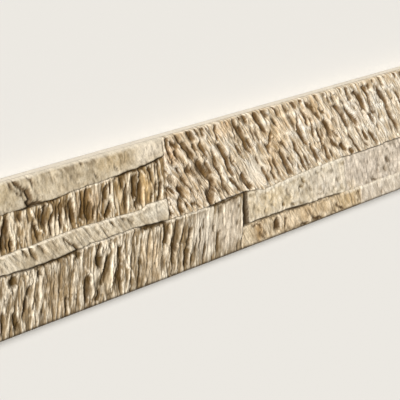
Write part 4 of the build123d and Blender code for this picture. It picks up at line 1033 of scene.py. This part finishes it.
def glazedStone():
    # the painted colour times fine ridges, as painted shade between them and painted highlight on
    # them, speckle and clouds, with ridges, striations and grit as bump, and bare body below a wavering
    # lip on the walls and all over the back
    material = bpy.data.materials.new("glazedStone")
    material.use_nodes = True
    tree = material.node_tree
    tree.nodes.clear()
    place = addNode(tree, "TexCoord", (-1200, 0)).outputs["Object"]
    painted = addNode(tree, "Attribute", (-600, 300), attribute_name="stoneColour")
    across = addNode(tree, "Attribute", (-1200, -400), attribute_name="grainAcross")

    # plain noise, a value moved from one range to another, and a sum or product, each as its output
    def noise(where, vector, scale, detail):
        inputs = {"Vector": vector, "Scale": scale, "Detail": detail}
        return addNode(tree, "TexNoise", where, inputs).outputs["Fac"]

    def ranged(where, value, low, high, toLow, toHigh):
        inputs = {"Value": value, "From Min": low, "From Max": high, "To Min": toLow, "To Max": toHigh}
        return addNode(tree, "MapRange", where, inputs).outputs["Result"]

    def maths(operation, where, *values):
        return addNode(tree, "Math", where, dict(enumerate(values)), operation=operation).outputs["Value"]

    # speckle and clouds in the glaze
    speck = noise((-900, 100), place, glaze["speckSize"], 4)
    cloud = noise((-900, -120), place, glaze["cloudSize"], 5)
    speckShade = ranged((-600, 100), speck, 0.3, 0.62, *glaze["speckShade"])
    cloudShade = ranged((-600, -120), cloud, 0.3, 0.7, *glaze["cloudShade"])
    mottle = maths("MULTIPLY", (-400, 0), speckShade, cloudShade)

    # sharp fine ridges along the grain, painted as shade between them and highlight on them, as strong
    # as the paint's fourth number says
    axes = addNode(tree, "SeparateXYZ", (-1000, -300), {"Vector": place}).outputs
    drawn = maths("MULTIPLY", (-800, -300), axes["Y"], glaze["drawnOut"])
    inputs = {"X": across.outputs["Fac"], "Y": drawn}
    grain = addNode(tree, "CombineXYZ", (-600, -300), inputs).outputs["Vector"]
    inputs = {"Vector": grain, "Scale": glaze["ridgePitch"], "Detail": 3}
    inputs |= {"Roughness": 0.6, "Offset": 1, "Gain": 1}
    ridges = addNode(tree, "TexNoise", (-400, -120), inputs, noise_type="RIDGED_MULTIFRACTAL")
    ridgeLevel = ranged((-200, -120), ridges.outputs["Fac"], 0.4, 1.7, 0, 1)
    between, on = ((*shade, 1) for shade in glaze["ridgeShade"])
    inputs = {"Factor": ridgeLevel, "A": between, "B": on}
    ridgeShade = addNode(tree, "Mix", (0, -120), inputs, data_type="RGBA").outputs["Result"]
    inputs = {"Factor": painted.outputs["Alpha"], "A": (1, 1, 1, 1), "B": ridgeShade}
    plainShade = addNode(tree, "Mix", (200, -120), inputs, data_type="RGBA").outputs["Result"]
    inputs = {0: painted.outputs["Color"], 1: plainShade}
    ridged = addNode(tree, "VectorMath", (400, 100), inputs, operation="MULTIPLY").outputs["Vector"]
    inputs = {0: ridged, "Scale": mottle}
    tinted = addNode(tree, "VectorMath", (500, 200), inputs, operation="SCALE").outputs["Vector"]

    # bump: the ridges, then striations and grit
    striation = noise((-400, -300), grain, glaze["striationPitch"], 3)
    grit = noise((-400, -520), place, glaze["gritSize"], 3)
    relief = maths("ADD", (-200, -380), striation, grit)
    ridgeHeight = maths("MULTIPLY", (300, -300), ridgeLevel, painted.outputs["Alpha"])
    strength, distance = glaze["ridgeBump"]
    inputs = {"Strength": strength, "Distance": distance, "Height": ridgeHeight}
    ridgeBump = addNode(tree, "Bump", (500, -300), inputs).outputs["Normal"]
    strength, distance = glaze["fineBump"]
    inputs = {"Strength": strength, "Distance": distance, "Height": relief, "Normal": ridgeBump}
    bump = addNode(tree, "Bump", (700, -380), inputs).outputs["Normal"]

    # the glaze ends in a wavering lip above the bare body
    waver = noise((-400, 560), place, glaze["lipPitch"], 2)
    lip = maths("MULTIPLY_ADD", (-200, 560), waver, -glaze["lipWaver"] * mm, axes["Z"])
    lipLow = glaze["bodyLevel"] - glaze["lipWaver"]
    coated = ranged((0, 560), lip, lipLow * mm, (lipLow + glaze["lipBlend"]) * mm, 0, 1)
    inputs = {0: toLinear(*glaze["bodyColour"]), "Scale": mottle}
    bare = addNode(tree, "VectorMath", (0, 380), inputs, operation="SCALE").outputs["Vector"]
    inputs = {"Factor": coated, "A": bare, "B": tinted}
    colour = addNode(tree, "Mix", (300, 300), inputs, data_type="RGBA").outputs["Result"]
    rough = ranged((700, -120), cloud, 0, 1, *glaze["roughness"])
    inputs = {"Base Color": colour, "Roughness": rough, "Normal": bump, "Specular IOR Level": glaze["shine"]}
    surface = addNode(tree, "BsdfPrincipled", (1100, 0), inputs).outputs["BSDF"]
    addNode(tree, "OutputMaterial", (1400, 0), {"Surface": surface})
    print("glaze mixed", len(tree.nodes), "nodes")
    return material


tile = bpy.data.objects.new("stoneTile", tileMesh())
bpy.context.scene.collection.objects.link(tile)
tile.data.materials.append(glazedStone())
tile.data.polygons.foreach_set("use_smooth", np.ones(len(tile.data.polygons), bool))
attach(tile, "root")
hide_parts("tile")

# Studio: pale floor, a low key light from the upper left of the face, soft fill from all round
studio = {
    "floor": (232, 231, 229),
    "floorSize": 8.0,
    "floorDrop": 0.0001,  # how far the floor lies under the tile
    "keyStrength": 5.0,
    "keyFrom": (-0.84, 0.22, 0.44),
    "keySoftness": 16,  # degrees across
    "keyColour": (1.0, 0.98, 0.95),
    "fill": 0.32,
    "fillColour": (1.0, 0.972, 0.9),
}


def studioFloor():
    # one flat square just under the tile
    half = studio["floorSize"] / 2
    sheet = bpy.data.meshes.new("studioFloor")
    corners = [(-half, -half, 0), (half, -half, 0), (half, half, 0), (-half, half, 0)]
    sheet.from_pydata(corners, [], [(0, 1, 2, 3)])
    floor = bpy.data.objects.new("studioFloor", sheet)
    floor.location.z = -studio["floorDrop"]
    bpy.context.scene.collection.objects.link(floor)
    material = bpy.data.materials.new("paleFloor")
    material.use_nodes = True
    surface = material.node_tree.nodes["Principled BSDF"]
    surface.inputs["Base Color"].default_value = (*toLinear(*studio["floor"]), 1)
    surface.inputs["Roughness"].default_value = 0.9
    surface.inputs["Specular IOR Level"].default_value = 0.0
    sheet.materials.append(material)


def studioLights():
    # a sun for the key, and a plain world for the fill whose colour the camera sees as the backdrop
    lamp = bpy.data.lights.new("key", "SUN")
    lamp.energy = studio["keyStrength"]
    lamp.angle = math.radians(studio["keySoftness"])
    lamp.color = studio["keyColour"]
    sun = bpy.data.objects.new("key", lamp)
    toLight = np.array(studio["keyFrom"]) / np.linalg.norm(studio["keyFrom"])
    side = np.cross((0, 0, 1), toLight)
    side /= np.linalg.norm(side)
    upward = np.cross(toLight, side)
    turn = np.stack([side, upward, toLight], axis=1)
    sun.matrix_world = Matrix([[*row, 0] for row in turn] + [[0, 0, 0, 1]])
    bpy.context.scene.collection.objects.link(sun)

    world = bpy.data.worlds.new("studio")
    world.use_nodes = True
    tree = world.node_tree
    tree.nodes.clear()
    inputs = {"Color": (*studio["fillColour"], 1), "Strength": studio["fill"]}
    fill = addNode(tree, "Background", (0, 0), inputs).outputs["Background"]
    inputs = {"Color": (*toLinear(*studio["floor"]), 1)}
    seen = addNode(tree, "Background", (0, -200), inputs).outputs["Background"]
    path = addNode(tree, "LightPath", (-200, 300)).outputs["Is Camera Ray"]
    chosen = addNode(tree, "MixShader", (300, 0), {"Fac": path, 1: fill, 2: seen}).outputs["Shader"]
    addNode(tree, "OutputWorld", (500, 0), {"Surface": chosen})
    bpy.context.scene.world = world


# Camera: where it stood to the tile, given from the left end, bottom edge and back plane in millimetres
camera = {
    "place": (-539.83, 231.98, 620.24),
    "right": (0.62170801, -0.087264, 0.77837276),
    "up": (0.20907164, 0.97620554, -0.05754815),
    "lens": 153.2,
}


def studioCamera():
    # the camera's own axes as the columns of its matrix
    right, upward = np.array(camera["right"]), np.array(camera["up"])
    backward = np.cross(right, upward)
    place = (np.array(camera["place"]) + [tileLow[0], tileLow[1], 0]) * mm
    lens = bpy.data.cameras.new("photoCamera")
    lens.lens = camera["lens"]
    lens.clip_start, lens.clip_end = 0.01, 20
    holder = bpy.data.objects.new("photoCamera", lens)
    axes = np.stack([right, upward, backward, place], axis=1)
    holder.matrix_world = Matrix([list(row) for row in axes] + [[0, 0, 0, 1]])
    bpy.context.scene.collection.objects.link(holder)
    bpy.context.scene.camera = holder


studioFloor()
studioLights()
studioCamera()
bpy.context.scene.view_settings.view_transform = "Standard"
print("studio ready")
